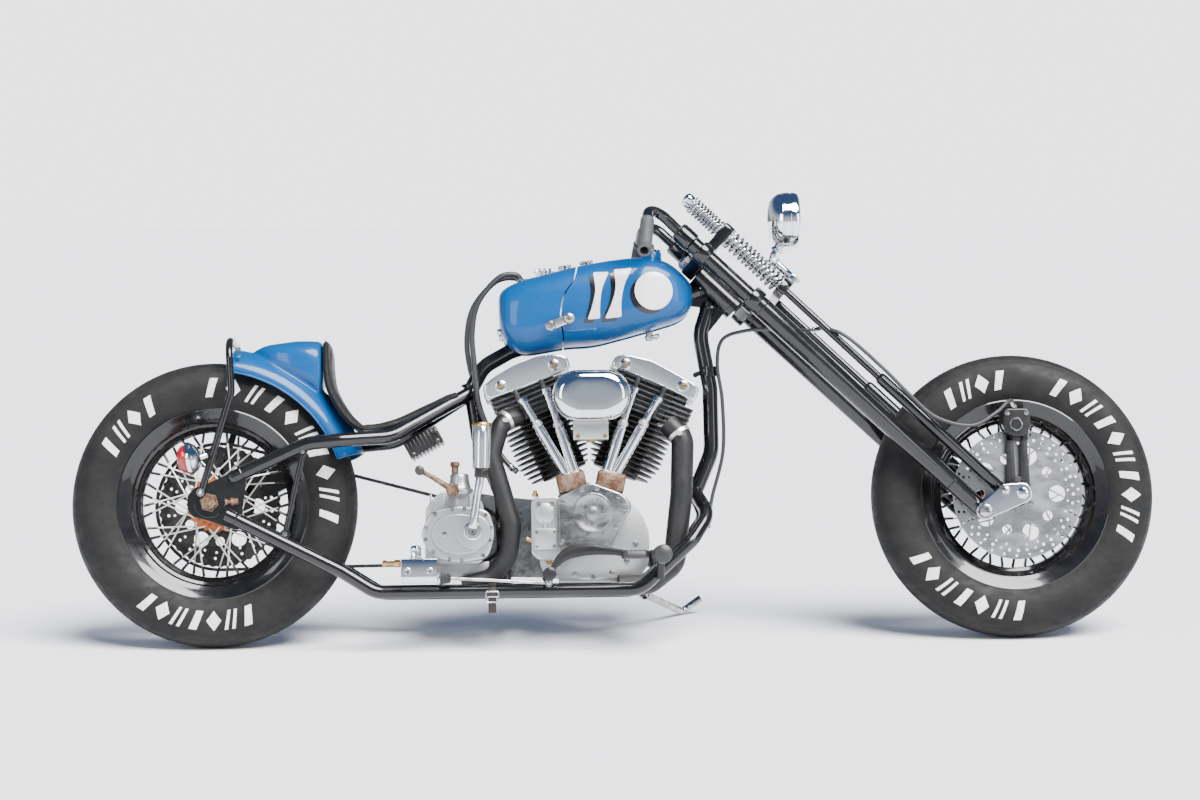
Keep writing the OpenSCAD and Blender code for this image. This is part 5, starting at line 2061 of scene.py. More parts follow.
@dataclass
class Engine:
    """The big air-cooled twin with everything bolted to it."""

    x: float = 868.0
    z: float = 256.0

    REAR_COVER = ((622, 592), (632, 561), (700, 584), (824, 632), (816, 660),
                  (796, 666), (747, 661), (692, 640), (648, 614))
    FRONT_COVER = ((919, 639), (931, 660), (957, 663), (1012, 650),
                   (1066, 620), (1110, 594), (1121, 583), (1110, 553),
                   (1016, 600))
    CAM = ((864, 367), (937, 339), (954, 322), (957, 305), (931, 265),
           (908, 212), (850, 208), (792, 222), (790, 332))
    PUMP = ((730, 204), (748, 190), (794, 190), (794, 336), (744, 336),
            (730, 326))
    RODS = (((814, -100, 385), (712, -98, 562)),
            ((832, -106, 390), (766, -98, 584)),
            ((904, -106, 390), (972, -98, 584)),
            ((922, -100, 385), (1026, -98, 562)))

    def build(self, shop: Shop) -> None:
        """Makes every piece of the engine."""
        self._cylinders(shop)
        self._crankcase(shop)
        self._timing(shop)
        self._pushrods(shop)
        self._carburettor(shop)
        self._primary(shop)

    def _cylinders(self, shop: Shop) -> None:
        """Makes both cylinders, heads and covers."""
        pair = (Cylinder("rear", -22.5, list(self.REAR_COVER),
                         [(664, 592), (786, 640)]),
                Cylinder("front", 22.5, list(self.FRONT_COVER),
                         [(952, 640), (1084, 588)]))
        cast, heads, covers = Solid(), Solid(), Solid()
        shine, trim = Solid(), Solid()
        for c in pair:
            c.barrel(cast, heads)
            c.covered(covers, shine, trim)
        shop.piece("finned_barrels", cast, Finishes.FIN, Body.FRAME,
                   replaces=("cylinders",))
        shop.piece("finned_heads", heads, Finishes.FIN_EDGE, Body.FRAME,
                   edge=0.5)
        shop.piece("crescent_covers", covers, Finishes.POLISHED, Body.FRAME,
                   replaces=("rocker_boxes",), edge=0.5)
        shop.piece("cover_bolts", shine, Finishes.AGED_CHROME, Body.FRAME)
        shop.piece("cover_bolt_centres", trim, Finishes.BRASS, Body.FRAME)

    def _crankcase(self, shop: Shop) -> None:
        """Makes the cast crankcase, its ribs and its bolts."""
        s = Solid().turned((self.x, -48, self.z), (0, 1, 0), [
            (0, 104), (3, 109), (8, 112), (50, 112), (52, 110), (54, 110),
            (56, 112), (100, 112), (105, 109), (108, 104)], 96)
        plate = softened([(768, 150), (975, 150), (1000, 176), (1004, 250),
                          (984, 300), (936, 352), (802, 352), (752, 296),
                          (748, 180)], 22)
        s.crowned(plate, -40, 54, 2)
        s.slab(plate, -50, -38)
        for k in range(7):
            t = math.radians(200 + k * 24)
            s.across(self.x + 106 * math.cos(t), self.z + 106 * math.sin(t),
                     -51, 58, 8, edge=1.5, sides=24)
        s.box((self.x, 0, 148), (150, 70, 16))
        shop.piece("engine_case", s, Finishes.CAST, Body.FRAME, edge=0.6,
                   replaces=("crankcase",))
        b = Solid()
        for k in range(7):
            t = math.radians(200 + k * 24)
            b.nut((self.x + 106 * math.cos(t), -51, self.z + 106 * math.sin(t)),
                  (0, -1, 0), 5.2, 5)
        shop.piece("engine_case_bolts", b, Finishes.AGED_CHROME, Body.FRAME)

    def _timing(self, shop: Shop) -> None:
        """Makes the cam cover, its round plate and the oil pump."""
        s = Solid().crowned(softened(list(self.CAM), 11), -52, -142, 2.6)
        s.slab(softened([(x + (x - 869) * 0.03, z + (z - 285) * 0.03)
                         for x, z in self.CAM], 11), -70, -112)
        s.turned((870, -140, 296), (0, -1, 0), [
            (0, 46), (4, 46), (6, 44.6), (6.4, 41), (5.4, 39), (5.4, 12),
            (7.6, 11), (7.6, 0.1)], 72)
        shop.piece("timing_cover", s, Finishes.COVER, Body.FRAME,
                   edge=0.6)
        b = Solid()
        for x, z in ((880, 352), (928, 333), (944, 305), (922, 264),
                     (900, 222), (802, 232), (802, 322), (846, 349)):
            b.turned((x, -142, z), (0, -1, 0), [
                (0, 5.6), (1, 5.6), (1.2, 4.6), (4.4, 4.6), (4.4, 2.4),
                (2.6, 2.2), (2.6, 0.1)], 24)
        for x in (848, 892):
            b.turned((x, -145.4, 296), (0, -1, 0), [
                (0, 3.6), (1.8, 3), (2.2, 0.1)], 20)
        shop.piece("timing_cover_screws", b, Finishes.AGED_CHROME, Body.FRAME)
        p = Solid().crowned(softened(list(self.PUMP), 8), -50, -122, 2.4)
        p.turned((762, -121, 296), (0, -1, 0), [
            (0, 24), (3, 24), (4, 22), (4, 0.1)], 40)
        p.slab(softened([(736, 214), (788, 214), (788, 262), (736, 262)],
                        6), -118, -127)
        p.rod((762, -121, 250), (762, -121, 282), 6)
        shop.piece("oil_pump_body", p, Finishes.CAST, Body.FRAME, edge=0.6)
        f = Solid()
        for x, z in ((742, 222), (782, 222), (742, 254), (782, 254),
                     (748, 318), (778, 318)):
            f.nut((x, -124, z), (0, -1, 0), 4.4, 4)
        shop.piece("oil_pump_screws", f, Finishes.AGED_CHROME, Body.FRAME)
        g = Solid()
        for p0, p1 in (((740, -96, 336), (740, -96, 350)),
                       ((734, -104, 236), (718, -104, 240)),
                       ((770, -92, 192), (770, -92, 180))):
            g.rod(p0, p1, 5)
            g.turned(p0, Vector(p1) - Vector(p0), [(0, 7.6), (7, 7.6)], 6)
        shop.piece("oil_pump_fittings", g, Finishes.BRASS, Body.FRAME)

    def _pushrods(self, shop: Shop) -> None:
        """Makes the four covered pushrods and the tappet blocks."""
        s, collars, blocks = Solid(), Solid(), Solid()
        for p0, p1 in self.RODS:
            a, b = Vector(p0), Vector(p1)
            d = (b - a).normalized()
            full = (b - a).length
            mid = (498 - a.z) / d.z
            s.turned(a, d, [(0, 12.6), (mid - 7, 12.6), (mid - 6, 11),
                            (mid, 11)], 32)
            s.turned(a + d * mid, d, [(0, 8.6), (full - mid - 12, 8.6),
                                      (full - mid - 11, 11.5),
                                      (full - mid, 11.5)], 28)
            collars.turned(a + d * (mid - 1), d, [
                (0, 11.4), (1, 12.4), (8, 12.4), (9, 11), (9.4, 9.6),
                (13, 9.2), (13.4, 8.8)], 28)
            collars.turned(a - d * 2, d, [(0, 14.5), (5, 14.5), (6, 13)], 28)
        shop.piece("pushrod_covers", s, Finishes.CHROME, Body.FRAME,
                   replaces=("pushrod_tubes",))
        shop.piece("pushrod_collars", collars, Finishes.SPOKE, Body.FRAME)
        for x, tilt in ((822, -12), (914, 12)):
            m = (Matrix.Translation((x, -96, 374))
                 @ Matrix.Rotation(math.radians(tilt), 4, "Y"))
            b = Solid().extruded(softened([(-33, -32), (33, -32), (33, 30),
                                           (-33, 30)], 7), -26, 12, m)
            blocks.add(b)
            for dx in (-26, 26):
                blocks.add(Solid().nut((dx, -27, 12), (0, 0, 1), 4.4, 4.4)
                           .moved(m))
        shop.piece("tappet_blocks", blocks, Finishes.RUST, Body.FRAME,
                   edge=0.8)

    def _carburettor(self, shop: Shop) -> None:
        """Makes the carburettor and its oval cleaner."""
        s = Solid().turned((870, -149.8, 560), (0, 1, 0), [
            (0, 33), (6, 33), (7, 28), (46, 26), (60, 27), (127, 27)], 44)
        s.across(870, 500, -120, -84, 33, edge=3)
        s.box((868, -115, 491), (80, 58, 56))
        s.across(905, 548, -118, -100, 12)
        s.rod((842, -40, 524), (898, -40, 524), 20)
        s.rod((846, -128, 532), (846, -128, 560), 7)
        s.box((899, -112, 566), (12, 46, 10), (0, 20, 0))
        shop.piece("carburettor_body", s, Finishes.CAST, Body.FRAME,
                   edge=2.0, replaces=("carburettor",))
        b = Solid()
        for x, z in ((838, 522), (900, 522), (838, 470), (900, 470)):
            b.nut((x, -144, z), (0, -1, 0), 4, 4)
        b.turned((869, -116, 463), (0, 0, -1), [(0, 10), (4, 10), (5, 7)], 6)
        shop.piece("carburettor_screws", b, Finishes.BRASS, Body.FRAME)
        c = Solid()
        steps = [(-150, 0.86), (-153, 0.95), (-158, 0.99), (-160, 0.965),
                 (-163, 0.965), (-165, 1.0), (-168, 1.0), (-176, 0.985),
                 (-184, 0.94), (-190, 0.86), (-194, 0.75), (-195.6, 0.6),
                 (-196, 0.4), (-196, 0.15)]
        plan = outline_round([(838, 562, 58), (902, 562, 58)], 120)
        c.skin([[Vector((870 + (x - 870) * f, y, 562 + (z - 562) * f))
                 for x, z in plan] for y, f in steps])
        shop.piece("air_cleaner_shell", c, Finishes.CHROME, Body.FRAME,
                   replaces=("air_cleaner",), smooth=50)

    def _primary(self, shop: Shop) -> None:
        """Makes the primary drive's cover on the left."""
        shop.keep("primary_cover", Finishes.COVER)
        b = Solid()
        outline = outline_round([(self.x, self.z, 80), (610, 256, 90)], 60)
        for k in range(0, len(outline), 6):
            x, z = outline[k]
            b.nut((x, 131, z), (0, 1, 0), 5, 5)
        b.turned((self.x, 131, self.z), (0, 1, 0), [
            (0, 44), (1.4, 43), (2.4, 40)], 60)
        b.turned((610, 131, 256), (0, 1, 0), [
            (0, 52), (1.4, 51), (2.4, 48)], 60)
        shop.piece("primary_cover_trim", b, Finishes.CHROME, Body.FRAME)


@dataclass
class Exhausts:
    """The two matt black pipes that run down to open ends."""

    FRONT = ((1050, -58, 504), (1082, -70, 470), (1077, -70, 340),
             (1058, -66, 180), (1000, -74, 136), (930, -80, 130))
    REAR = ((706, -64, 524), (664, -86, 510), (640, -98, 430),
            (664, -98, 350), (686, -98, 270), (676, -92, 200),
            (640, -86, 152), (572, -84, 134))
    front_r: float = 26.0
    rear_r: float = 22.0

    def build(self, shop: Shop) -> None:
        """Makes both pipes with their end collars and clamps."""
        pipe, clamps = Solid(), Solid()
        for route, r in ((self.FRONT, self.front_r), (self.REAR, self.rear_r)):
            line = rounded(list(route), 44)
            self._open_pipe(pipe, line, r)
            p, d = self._along(line, 0.075)
            clamps.turned(p - d * 5, d, [
                (0, r + 1), (1, r + 2.6), (9, r + 2.6), (10, r + 1)], 40)
            clamps.box(tuple(p + Vector((0, -r - 4, 0))), (10, 8, 9))
            clamps.nut(p + Vector((-5, -r - 4, 0)), (-1, 0, 0), 3.6, 3)
        shop.piece("exhaust_tubes", pipe, Finishes.PIPE, Body.FRAME,
                   replaces=("exhaust_pipes",))
        shop.piece("exhaust_clamps", clamps, Finishes.SPOKE, Body.FRAME)

    def _along(self, line: list[Vector], share: float) -> tuple[Vector, Vector]:
        """Returns the point and the direction at a share of the length."""
        total = sum((b - a).length for a, b in zip(line, line[1:]))
        left = total * share
        for a, b in zip(line, line[1:]):
            step = (b - a).length
            if left <= step:
                return a + (b - a) * (left / step), (b - a).normalized()
            left -= step
        return line[-1], (line[-1] - line[-2]).normalized()

    def _open_pipe(self, s: Solid, line: list[Vector], r: float) -> None:
        """Draws a tube of radius r that is open at its far end."""
        s.sweep(line, r - 0.2, 44)
        end, d = line[-1], (line[-1] - line[-2]).normalized()
        s.turned(end - d * 1.0, d, [(0, r - 0.4), (0.8, r), (1.4, r - 0.2),
                                    (1.4, r - 2), (1.2, r - 2.2),
                                    (-38, r - 2.4), (-38, 0.1)], 40)


@dataclass
class Gearbox:
    """The gearbox with its kick starter and its hand lever."""

    OUTLINE = ((476, 250), (500, 202), (560, 184), (632, 196), (648, 256),
               (634, 306), (560, 318), (500, 304))
    BODY = ((486, 196), (500, 186), (612, 186), (622, 200), (622, 320),
            (600, 350), (520, 350), (488, 316))

    def build(self, shop: Shop) -> None:
        """Makes the case, the side cover and the levers."""
        s = Solid().crowned(softened(list(self.BODY), 14), -78, 76, 3)
        s.across(598, 256, -126, 78, 39)
        s.turned((566, -63, 346), (0, 0, 1), [
            (0, 32), (10, 32), (12, 27), (24, 24), (34, 22), (42, 21.8),
            (46, 19)], 40)
        s.box((559, 0, 170), (146, 118, 40))
        for x in (500, 530, 560, 590):
            s.slab([(x - 2.5, 192), (x + 2.5, 192), (x + 2.5, 344),
                    (x - 2.5, 344)], -81, -76)
        shop.piece("gearbox_case", s, Finishes.CAST, Body.FRAME, edge=1.4,
                   replaces=("gearbox",))
        c = Solid().crowned(softened(list(self.OUTLINE), 20), -66, -118, 3)
        inner = [(562 + (x - 562) * 0.72, 252 + (z - 252) * 0.72)
                 for x, z in self.OUTLINE]
        c.crowned(softened(inner, 18), -112, -123.4, 2)
        c.turned((598, -117, 256), (0, -1, 0), [
            (0, 32), (5, 30), (6.4, 27), (6.8, 14)], 48)
        shop.piece("gearbox_cover_plate", c, Finishes.CAST, Body.FRAME,
                   edge=0.8)
        b = Solid()
        ring = softened(list(self.OUTLINE), 20)
        for k in range(12):
            x, z = ring[int(len(ring) * k / 12)]
            b.nut((562 + (x - 562) * 0.9, -116.6, 252 + (z - 252) * 0.9),
                  (0, -1, 0), 4.8, 4.4)
        b.turned((532, -121, 252), (0, -1, 0), [(0, 7), (2, 7), (2.6, 5)], 28)
        shop.piece("gearbox_cover_bolts", b, Finishes.AGED_CHROME, Body.FRAME)
        self._kicker(shop)
        self._shifter(shop)

    def _kicker(self, shop: Shop) -> None:
        """Makes the kick starter's arm and its round pedal."""
        s = Solid().across(598, 256, -196, -128, 11.8)
        s.turned((598, -180, 256), (0, -1, 0), [
            (0, 20), (2, 21), (14, 21), (16, 19)], 40)
        s.sweep([Vector(p) for p in ((598, -189, 262), (603, -190, 300),
                                     (611, -193, 350), (618, -196, 388))],
                [12, 9.4, 9, 9.6], 24)
        s.turned((618, -196, 376), (0.02, 0, 1), [
            (0, 9), (2, 12), (10, 12), (12, 9)], 28)
        shop.piece("kicker_arm", s, Finishes.CHROME, Body.FRAME,
                   replaces=("kick_starter",), edge=0.5)
        s = Solid().box((618, -196, 388), (30, 30, 24), (0, 4, 0))
        shop.piece("kicker_fork", s, Finishes.CHAIN, Body.FRAME, edge=2.0)
        g = Solid().turned((618.4, -196, 396), (0.025, 0, 1), [
            (0, 18), (1.5, 20), (60, 21), (94, 21.4), (96, 20)], 56)
        shop.piece("kicker_pedal", g, Finishes.POLISHED, Body.FRAME)
        t = Solid().turned((620.8, -196, 491.6), (0.025, 0, 1), [
            (0, 22), (1, 23), (5, 23), (8, 21), (9, 15), (9.2, 0.1)], 48)
        shop.piece("kicker_pedal_cap", t, Finishes.BRASS, Body.FRAME)

    def _shifter(self, shop: Shop) -> None:
        """Makes the hand lever on top of the gearbox."""
        s = Solid().turned((556, -62, 348), (0, 0, 1), [
            (0, 12), (10, 12), (12, 8), (60, 8), (62, 11), (70, 11),
            (72, 8)], 28)
        s.turned((552, -150, 352), (0, 1, 0), [
            (0, 14), (2, 16), (20, 16), (22, 12), (52, 11), (54, 8)], 6)
        s.sweep([Vector(p) for p in ((552, -141, 354), (536, -142, 362),
                                     (508, -147, 380), (478, -152, 396))],
                [9, 7, 5.8, 5.4], 20)
        shop.piece("hand_lever", s, Finishes.RUST, Body.FRAME,
                   replaces=("shift_lever",))
        k = Solid().turned((478, -136, 396), (0, -1, 0), [
            (0, 7), (2, 10), (6, 10.9), (26, 10.9), (30, 9.6), (32, 6),
            (32.4, 0.1)], 32)
        shop.piece("hand_lever_knob", k, Finishes.HOSE, Body.FRAME)


@dataclass
class Chain:
    """The final drive chain round both sprockets."""

    rear: float = 148.2
    front: float = 66.0
    front_x: float = 598.0
    front_z: float = 256.0
    pitch: float = 15.875
    y: float = 92.0

    def build(self, shop: Shop) -> None:
        """Makes the rollers and the two rows of plates."""
        loop = self._loop()
        plates, rollers = Solid(), Solid()
        n = len(loop)
        for i in range(n):
            a, b = loop[i], loop[(i + 1) % n]
            rollers.across(a[0], a[1], self.y - 5, self.y + 5, 3.9,
                           edge=0.3, sides=14)
            for side in (-1, 1):
                y = self.y + side * (4.4 if i % 2 else 6.2)
                plan = outline_round([(a[0], a[1], 3.9), (b[0], b[1], 3.9)],
                                     20)
                plates.slab(plan, y - 0.7, y + 0.7)
                rollers.across(a[0], a[1], self.y + side * 5,
                               self.y + side * 7.6, 2.2, edge=0.3, sides=10)
        shop.piece("chain_link_plates", plates, Finishes.CHAIN, Body.FRAME,
                   replaces=("drive_chain",))
        shop.piece("chain_rollers", rollers, Finishes.CHAIN, Body.FRAME)

    def _loop(self) -> Outline:
        """Returns the pins round the loop, evenly spaced."""
        taut = outline_round([(0, AXLE_HEIGHT, self.rear),
                              (self.front_x, self.front_z, self.front)], 720)
        lengths = [math.dist(taut[i], taut[(i + 1) % len(taut)])
                   for i in range(len(taut))]
        total = sum(lengths)
        count = round(total / self.pitch / 2) * 2
        step, out = total / count, []
        i, left = 0, 0.0
        for _ in range(count):
            while left > lengths[i]:
                left -= lengths[i]
                i = (i + 1) % len(taut)
            a, b = taut[i], taut[(i + 1) % len(taut)]
            f = left / lengths[i] if lengths[i] else 0
            out.append((a[0] + (b[0] - a[0]) * f, a[1] + (b[1] - a[1]) * f))
            left += step
        return out


# ---- small parts --------------------------------------------------------


@dataclass
class SmallParts:
    """Everything small that is bolted to the frame."""

    def build(self, shop: Shop) -> None:
        """Makes all the small parts."""
        self._box(shop)
        self._tail_light(shop)
        self._master(shop)
        for side in Side:
            self._controls(shop, side)
        self._rear_caliper(shop)
        self._hoses(shop)
        self._strap(shop)
        self._stand(shop)

    def _box(self, shop: Shop) -> None:
        """Makes the battery box under the seat."""
        m = (Matrix.Translation((483.8, 0, 466))
             @ Matrix.Rotation(math.radians(-28), 4, "Y"))
        s = Solid().box((0, 0, 2), (86, 116, 40))
        for k in range(-4, 5):
            s.box((k * 9.4, 0, 0), (4, 120, 44))
        shop.piece("battery_case", s.moved(m), Finishes.SATIN, Body.FRAME,
                   edge=1.6, replaces=("battery_box",))
        c = Solid()
        for x, z in ((-34, -14), (30, -12), (36, 10)):
            c.turned((x, -58, z), (0, -1, 0), [
                (0, 6), (4, 6), (5, 3.4), (14, 3), (15, 1.6)], 20)
        shop.piece("battery_case_fittings", c.moved(m), Finishes.CHAIN,
                   Body.FRAME)

    def _tail_light(self, shop: Shop) -> None:
        """Makes the tail light with its ribbed red lens."""
        d = Vector((52, 0, 8)).normalized()
        start = Vector((-68, -158, 424))
        s = Solid().turned(start + d * 22, d, [
            (0, 34), (0.6, 37.2), (2, 38), (9, 38), (10.4, 35.6),
            (14, 33.6), (22, 28), (28, 19), (31, 10)], 60)
        s.rod((-20, -158, 430), (-4, -150, 436), 8)
        shop.piece("tail_light_shell", s, Finishes.CHROME, Body.FRAME,
                   replaces=("tail_light",))
        profile = [(0, 0.1), (0.2, 8), (1, 12)]
        for k in range(7):
            at = 2 + k * 2.9
            r = 15 + 17.5 * math.sqrt(max(0.0, 1 - ((22 - at) / 21) ** 2))
            profile += [(at, r - 0.6), (at + 0.9, r + 0.7),
                        (at + 2.1, r + 0.7)]
        profile += [(23, 33.4)]
        lens = Solid().turned(start, d, profile, 60)
        shop.piece("tail_light_lens", lens, Finishes.RED, Body.FRAME,
                   smooth=60)

    def _master(self, shop: Shop) -> None:
        """Makes the rear brake's master cylinder low on the right."""
        s = Solid().box((476, -155, 168), (82, 44, 54))
        s.turned((468, -155, 196), (0, 0, 1), [
            (0, 15), (4, 15), (5, 13), (20, 13), (21, 14), (24, 14),
            (29, 11), (30, 8)], 6)
        s.rod((518, -155, 151), (526, -155, 151), 13)
        shop.piece("master_cylinder_body", s, Finishes.CHROME, Body.FRAME,
                   edge=2.4, replaces=("brake_master_cylinder",))
        b = Solid()
        for x in (450, 500):
            b.turned((x, -177, 168), (0, -1, 0), [
                (0, 8), (1.2, 8), (1.8, 6.6), (1, 4), (1, 0.1)], 28)
        b.rod((546, -155, 151), (768, -155, 138), 4)
        b.turned((768, -150, 138), (0, -1, 0), [
            (0, 9), (1, 9.6), (9, 9.6), (10, 9)], 28)
        b.turned((768, -160, 138), (0, -1, 0), [
            (0, 5), (4, 5), (5, 3)], 6)
        shop.piece("brake_rod_and_screws", b, Finishes.AGED_CHROME,
                   Body.FRAME)
        g = Solid().turned((522, -155, 151), (1, 0, -0.02), [
            (0, 14), (3, 15), (6, 12.4), (9, 14), (12, 11.4), (15, 13),
            (18, 10.4), (21, 12), (25, 6)], 32)
        shop.piece("master_cylinder_boot", g, Finishes.HOSE, Body.FRAME,
                   smooth=50)
        f = Solid().rod((434, -150, 186), (394, -138, 186), 6)
        f.turned((432, -149.4, 186), (-1, 0.3, 0), [(0, 9), (12, 9)], 6)
        f.turned((402, -140.4, 186), (-1, 0.3, 0), [(0, 8), (9, 8)], 6)
        shop.piece("brake_line_fittings", f, Finishes.BRASS, Body.FRAME)

    def _controls(self, shop: Shop, side: Side) -> None:
        """Makes one side's foot peg and curved pedal."""
        s, n = side.value, side.name.lower()
        post = Solid().rod((1022, s * 145, 146), (1022, s * 178, 198), 9)
        post.across(1022, 198, *sorted((s * 172, s * 190)), 13)
        post.turned((770, s * 146, 158), (0, s, 0), [
            (0, 13), (1, 14.5), (8, 14.5), (9, 12), (46, 12), (48, 15),
            (54, 15), (56, 12)], 32)
        post.skin([[p + Vector((0, s * 5 * math.cos(t), h * math.sin(t)))
                    for t in (math.tau * k / 28 for k in range(28))]
                   for p, h in self._pedal(s)])
        shop.piece(f"foot_control_arms_{n}", post, Finishes.SATIN, Body.FRAME,
                   replaces=("foot_controls",) if s < 0 else ())
        pad = Solid()
        plan = [(962 + x, s * 222 + y) for x, y in outline_round(
            [(-16, -12, 15), (-16, 12, 15), (16, -12, 15), (16, 12, 15)], 64)]
        rings = []
        for h, f in ((189, 0.92), (191, 1), (204, 1), (206, 0.94), (207, 0.8)):
            rings.append([Vector((962 + (x - 962) * f,
                                  s * 222 + (y - s * 222) * f, h))
                          for x, y in plan])
        pad.skin(rings)
        for k in range(-2, 3):
            pad.box((962 + k * 10, s * 222, 207.4), (4, 40, 1.4))
        peg = [(0, 14), (3, 20)]
        for k in range(7):
            at = 6 + k * 14
            peg += [(at, 20.6), (at + 2, 21), (at + 9, 21), (at + 11, 20.4),
                    (at + 12, 18.6), (at + 13, 18.6)]
        peg += [(106, 20.4), (109, 17)]
        pad.turned((1022, s * 177, 198), (0, s, 0), peg, 44)
        shop.piece(f"foot_rubbers_{n}", pad, Finishes.HOSE, Body.FRAME,
                   smooth=44)

    def _pedal(self, s: int) -> list[tuple[Vector, float]]:
        """Returns the broad pedal arm's centre line and half heights."""
        line = flowing([(768, s * 190, 156), (788, s * 194, 186),
                        (814, s * 198, 204), (856, s * 202, 211),
                        (900, s * 206, 208), (940, s * 214, 201)], 6)
        n = len(line) - 1
        return [(p, 8 + 7 * math.sin(math.pi * min(1, 0.12 + i / n)))
                for i, p in enumerate(line)]

    def _rear_caliper(self, shop: Shop) -> None:
        """Shows the rear caliper as it is, in satin black, and adds its bolts."""
        shop.keep("rear_brake_caliper", Finishes.SATIN)
        b = Solid()
        for x, z in ((112, 380), (140, 396)):
            b.nut((x, 105, z), (0, 1, 0), 4.6, 4)
        shop.piece("rear_caliper_bolts", b, Finishes.AGED_CHROME, Body.FRAME)

    def _hoses(self, shop: Shop) -> None:
        """Makes the oil hoses and their clamps."""
        right = ((716, -34, 838), (700, -40, 856), (660, -44, 848),
                 (612, -42, 790), (598, -42, 720), (602, -44, 650),
                 (606, -46, 600), (612, -45, 556), (628, -42, 508),
                 (652, -44, 450), (690, -58, 400))
        left = ((716, 34, 838), (700, 40, 858), (652, 44, 850),
                (600, 42, 790), (584, 42, 716), (590, 44, 650),
                (604, 48, 600), (612, 48, 556), (628, 46, 506),
                (652, 46, 450), (700, 50, 400))
        s, c = Solid(), Solid()
        for route in (right, left):
            s.hose(list(route), 6.4, 20)
            for a, b in ((route[0], route[1]), (route[-1], route[-2])):
                d = (Vector(b) - Vector(a)).normalized()
                c.turned(Vector(a) + d * 4, d, [
                    (0, 6.8), (0.6, 7.4), (7, 7.4), (7.6, 6.8)], 24)
                c.box(tuple(Vector(a) + d * 8 + Vector((0, -8, 0))),
                      (6, 5, 5))
        shop.piece("oil_hoses", s, Finishes.HOSE, Body.FRAME,
                   replaces=("oil_lines",))
        shop.piece("oil_hose_clamps", c, Finishes.AGED_CHROME, Body.FRAME)
        front = ((1848, -98, 527), (1838, -104, 546), (1800, -128, 516),
                 (1740, -138, 486), (1660, -136, 506), (1600, -132, 560),
                 (1540, -130, 622), (1460, -128, 694), (1412, -104, 716),
                 (1389, -73, 717))
        f = Solid().hose(list(front), 4.4, 16)
        shop.piece("front_brake_hose", f, Finishes.HOSE, Body.FORK,
                   replaces=("front_hose",))
        loop = ((1384, -66, 716), (1300, -52, 722), (1230, -30, 720),
                (1180, -24, 700), (1168, -26, 640), (1178, -26, 560),
                (1178, -26, 440), (1150, -30, 330), (1140, -44, 262))
        h = Solid().hose(list(loop), 4.4, 16)
        o = shop.piece("brake_hose_loop", h, Finishes.HOSE, None,
                       replaces=("hose_loop",))
        stance = shop.stance.matrix()
        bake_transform(o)
        e = Solid()
        for a, b in ((front[0], front[1]), (front[-1], front[-2])):
            d = (Vector(b) - Vector(a)).normalized()
            e.turned(Vector(a) - d * 2, d, [(0, 6.6), (9, 6.6), (10, 5.4),
                                            (20, 5.2)], 6)
        shop.piece("front_hose_unions", e, Finishes.AGED_CHROME, Body.FORK)

    def _strap(self, shop: Shop) -> None:
        """Makes the short strap with a buckle round the right rail."""
        s = Solid()
        ring = []
        for k in range(33):
            t = math.tau * k / 32
            ring.append([Vector((640 + dx, -130 + (16.4 + dr) * math.cos(t),
                                 122 + (16.4 + dr) * math.sin(t)))
                         for dx, dr in ((-9, 0), (9, 0), (9, 2), (-9, 2))])
        s.skin(ring[:-1], cap=False, loop=True)
        s.skin([[Vector((640 + dx, y + dy, z)) for dx, dy in (
            (-9, -1), (9, -1), (9, 1), (-9, 1))]
            for y, z in ((-147.6, 122), (-148.4, 112), (-148, 98),
                         (-146.6, 84), (-146, 72))])
        shop.piece("rail_strap", s, Finishes.STRAP, Body.FRAME, edge=0.4)
        b = Solid()
        b.sweep(rounded([(626, -150.4, 120), (626, -150.4, 96),
                         (654, -150.4, 96), (654, -150.4, 120),
                         (626, -150.4, 120)], 4), 1.9, 12)
        b.rod((626, -150.4, 108), (654, -150.4, 108), 1.5)
        shop.piece("strap_buckle", b, Finishes.CHROME, Body.FRAME)

    def _stand(self, shop: Shop) -> None:
        """Shows the side stand as it is, in aged chrome."""
        shop.keep("side_stand", Finishes.AGED_CHROME)


# ---- studio -------------------------------------------------------------


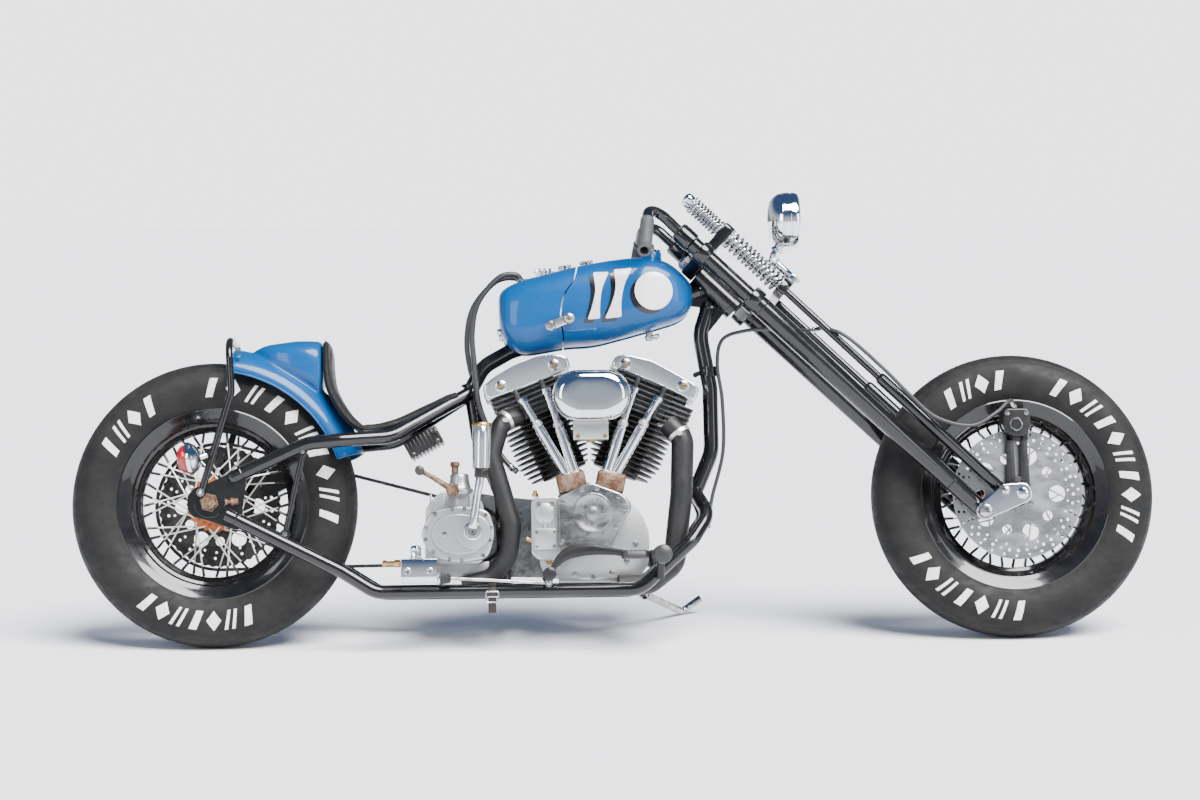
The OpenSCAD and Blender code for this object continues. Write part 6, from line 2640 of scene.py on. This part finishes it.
@dataclass
class Studio:
    """The pale floor, the soft light and the camera."""

    place: Vector
    yaw: float = math.radians(1.786)
    pitch: float = math.radians(4.741)
    roll: float = math.radians(-0.4555)
    lens: float = 78.6
    floor_radius: float = 60.0
    brightness: float = 3.0
    glow: float = 0.9

    def build(self) -> None:
        """Sets up everything that is not part of the bike."""
        self._floor()
        self._sky()
        self._lights()
        self._camera()

    def _floor(self) -> None:
        """Makes the flat floor, which runs out of sight all round."""
        bm = bmesh.new()
        bmesh.ops.create_circle(bm, cap_ends=True, segments=96,
                                radius=self.floor_radius)
        mesh = bpy.data.meshes.new("pale_floor")
        bm.to_mesh(mesh)
        bm.free()
        o = bpy.data.objects.new("pale_floor", mesh)
        bpy.context.scene.collection.objects.link(o)
        m = bpy.data.materials.new("pale_floor")
        m.use_nodes = True
        t = Tree(m.node_tree)
        shader = t.node("BsdfPrincipled", {
            "Base Color": (0.9, 0.9, 0.92, 1), "Roughness": 0.8,
            "Specular IOR Level": 0.1})
        out = t.node("OutputMaterial")
        t.tree.links.new(shader.outputs[0], out.inputs[0])
        o.data.materials.append(m)

    def _sky(self) -> None:
        """Lights the room: pale at the horizon, deep blue overhead.

        What is seen straight past the bike is as pale as the floor.
        """
        world = bpy.data.worlds.new("room")
        world.use_nodes = True
        t = Tree(world.node_tree)
        up = t.node("SeparateXYZ", {
            0: t.node("TexCoord").outputs["Generated"]}).outputs[2]
        high = t.spread(up, 0.03, 0.55, 0.0, 1.0)
        low = t.spread(up, -0.04, 0.04, 1.0, 0.0)
        sky = t.blend(high, (0.85, 0.92, 1.0, 1), (0.06, 0.12, 0.26, 1))
        room = t.blend(low, sky, (0.03, 0.03, 0.034, 1))
        seen = t.node("LightPath").outputs["Is Camera Ray"]
        strength = t.math("ADD", self.glow, t.math(
            "MULTIPLY", seen, self.brightness - self.glow))
        back = t.node("Background", {
            0: t.blend(seen, room, (0.96, 0.97, 1.0, 1)), 1: strength})
        out = t.node("OutputWorld")
        t.tree.links.new(back.outputs[0], out.inputs[0])
        bpy.context.scene.world = world

    def _lights(self) -> None:
        """Hangs one broad soft light overhead and two soft lamps near."""
        for name, kind, at, power, size in (
                ("overhead", "SUN", (2.1, -3.2, 6.0), 11.5, None),
                ("near_left", "AREA", (-3.2, -3.8, 2.2), 60, (1.2, 2.4)),
                ("near_right", "AREA", (3.4, -3.4, 2.0), 45, (1.2, 2.4))):
            data = bpy.data.lights.new(name, kind)
            data.energy = power
            if size:
                data.shape = "RECTANGLE"
                data.size, data.size_y = size
            else:
                data.angle = math.radians(38)
            o = bpy.data.objects.new(name, data)
            bpy.context.scene.collection.objects.link(o)
            o.location = at
            way = Vector((0, 0, 0.5)) - Vector(at)
            o.rotation_euler = way.to_track_quat("-Z", "Y").to_euler()

    def _camera(self) -> None:
        """Places the camera square to the bike's right side."""
        s, c = math.sin, math.cos
        view = Vector((s(self.yaw) * c(self.pitch), c(self.yaw)
                       * c(self.pitch), -s(self.pitch)))
        right = view.cross(Vector((0, 0, 1))).normalized()
        up = right.cross(view)
        right2 = right * c(self.roll) + up * s(self.roll)
        up2 = up * c(self.roll) - right * s(self.roll)
        data = bpy.data.cameras.new("side_view")
        data.lens, data.sensor_width = self.lens, 36
        o = bpy.data.objects.new("side_view", data)
        bpy.context.scene.collection.objects.link(o)
        m = Matrix((right2, up2, -view)).transposed().to_4x4()
        o.matrix_world = Matrix.Translation(self.place) @ m
        bpy.context.scene.camera = o


def main() -> None:
    """Builds the motorcycle and the studio round it."""
    logging.basicConfig(level=logging.INFO, format="%(name)s: %(message)s")
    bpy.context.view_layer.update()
    stance = Stance.of(frame)
    shop = Shop(stance)
    line = ForkLine(stance.wheelbase)
    wheels = (
        Wheel("rear", Body.REAR, 0.0, (-70, 87.4),
              Rotor(88, 94, 143, 6, 20, 88,
                    ((122, 24, 3.4), (108, 24, 3.0)), teeth=48),
              Finishes.CHAIN,
              (Marks(118, 155, 4), Marks(96, -12, 10),
               Marks(-128, -68, 7))),
        Wheel("front", Body.FRONT, stance.wheelbase, (-73, 60),
              Rotor(-78.5, -73.5, 150, 5, 22, 92,
                    ((118, 30, 3.0), (130, 40, 4.0), (142, 30, 3.5))),
              Finishes.DISC,
              (Marks(93, 128, 4), Marks(72, -25, 10),
               Marks(-152, -85, 7))))
    for part in (*wheels, Chassis(line=line), Fender(), Seat(), Tank(),
                 Engine(), Exhausts(), Gearbox(), Chain(), SmallParts(),
                 Fork(line), Headlight(line), Handlebar(line),
                 FrontCaliper(line)):
        LOG.info("building %s", type(part).__name__)
        part.build(shop)
    Studio(Vector((-0.2229, -6.1013, 1.0633))).build()
    LOG.info("made %d pieces", len(shop.made))


if __name__ == "__main__":
    main()
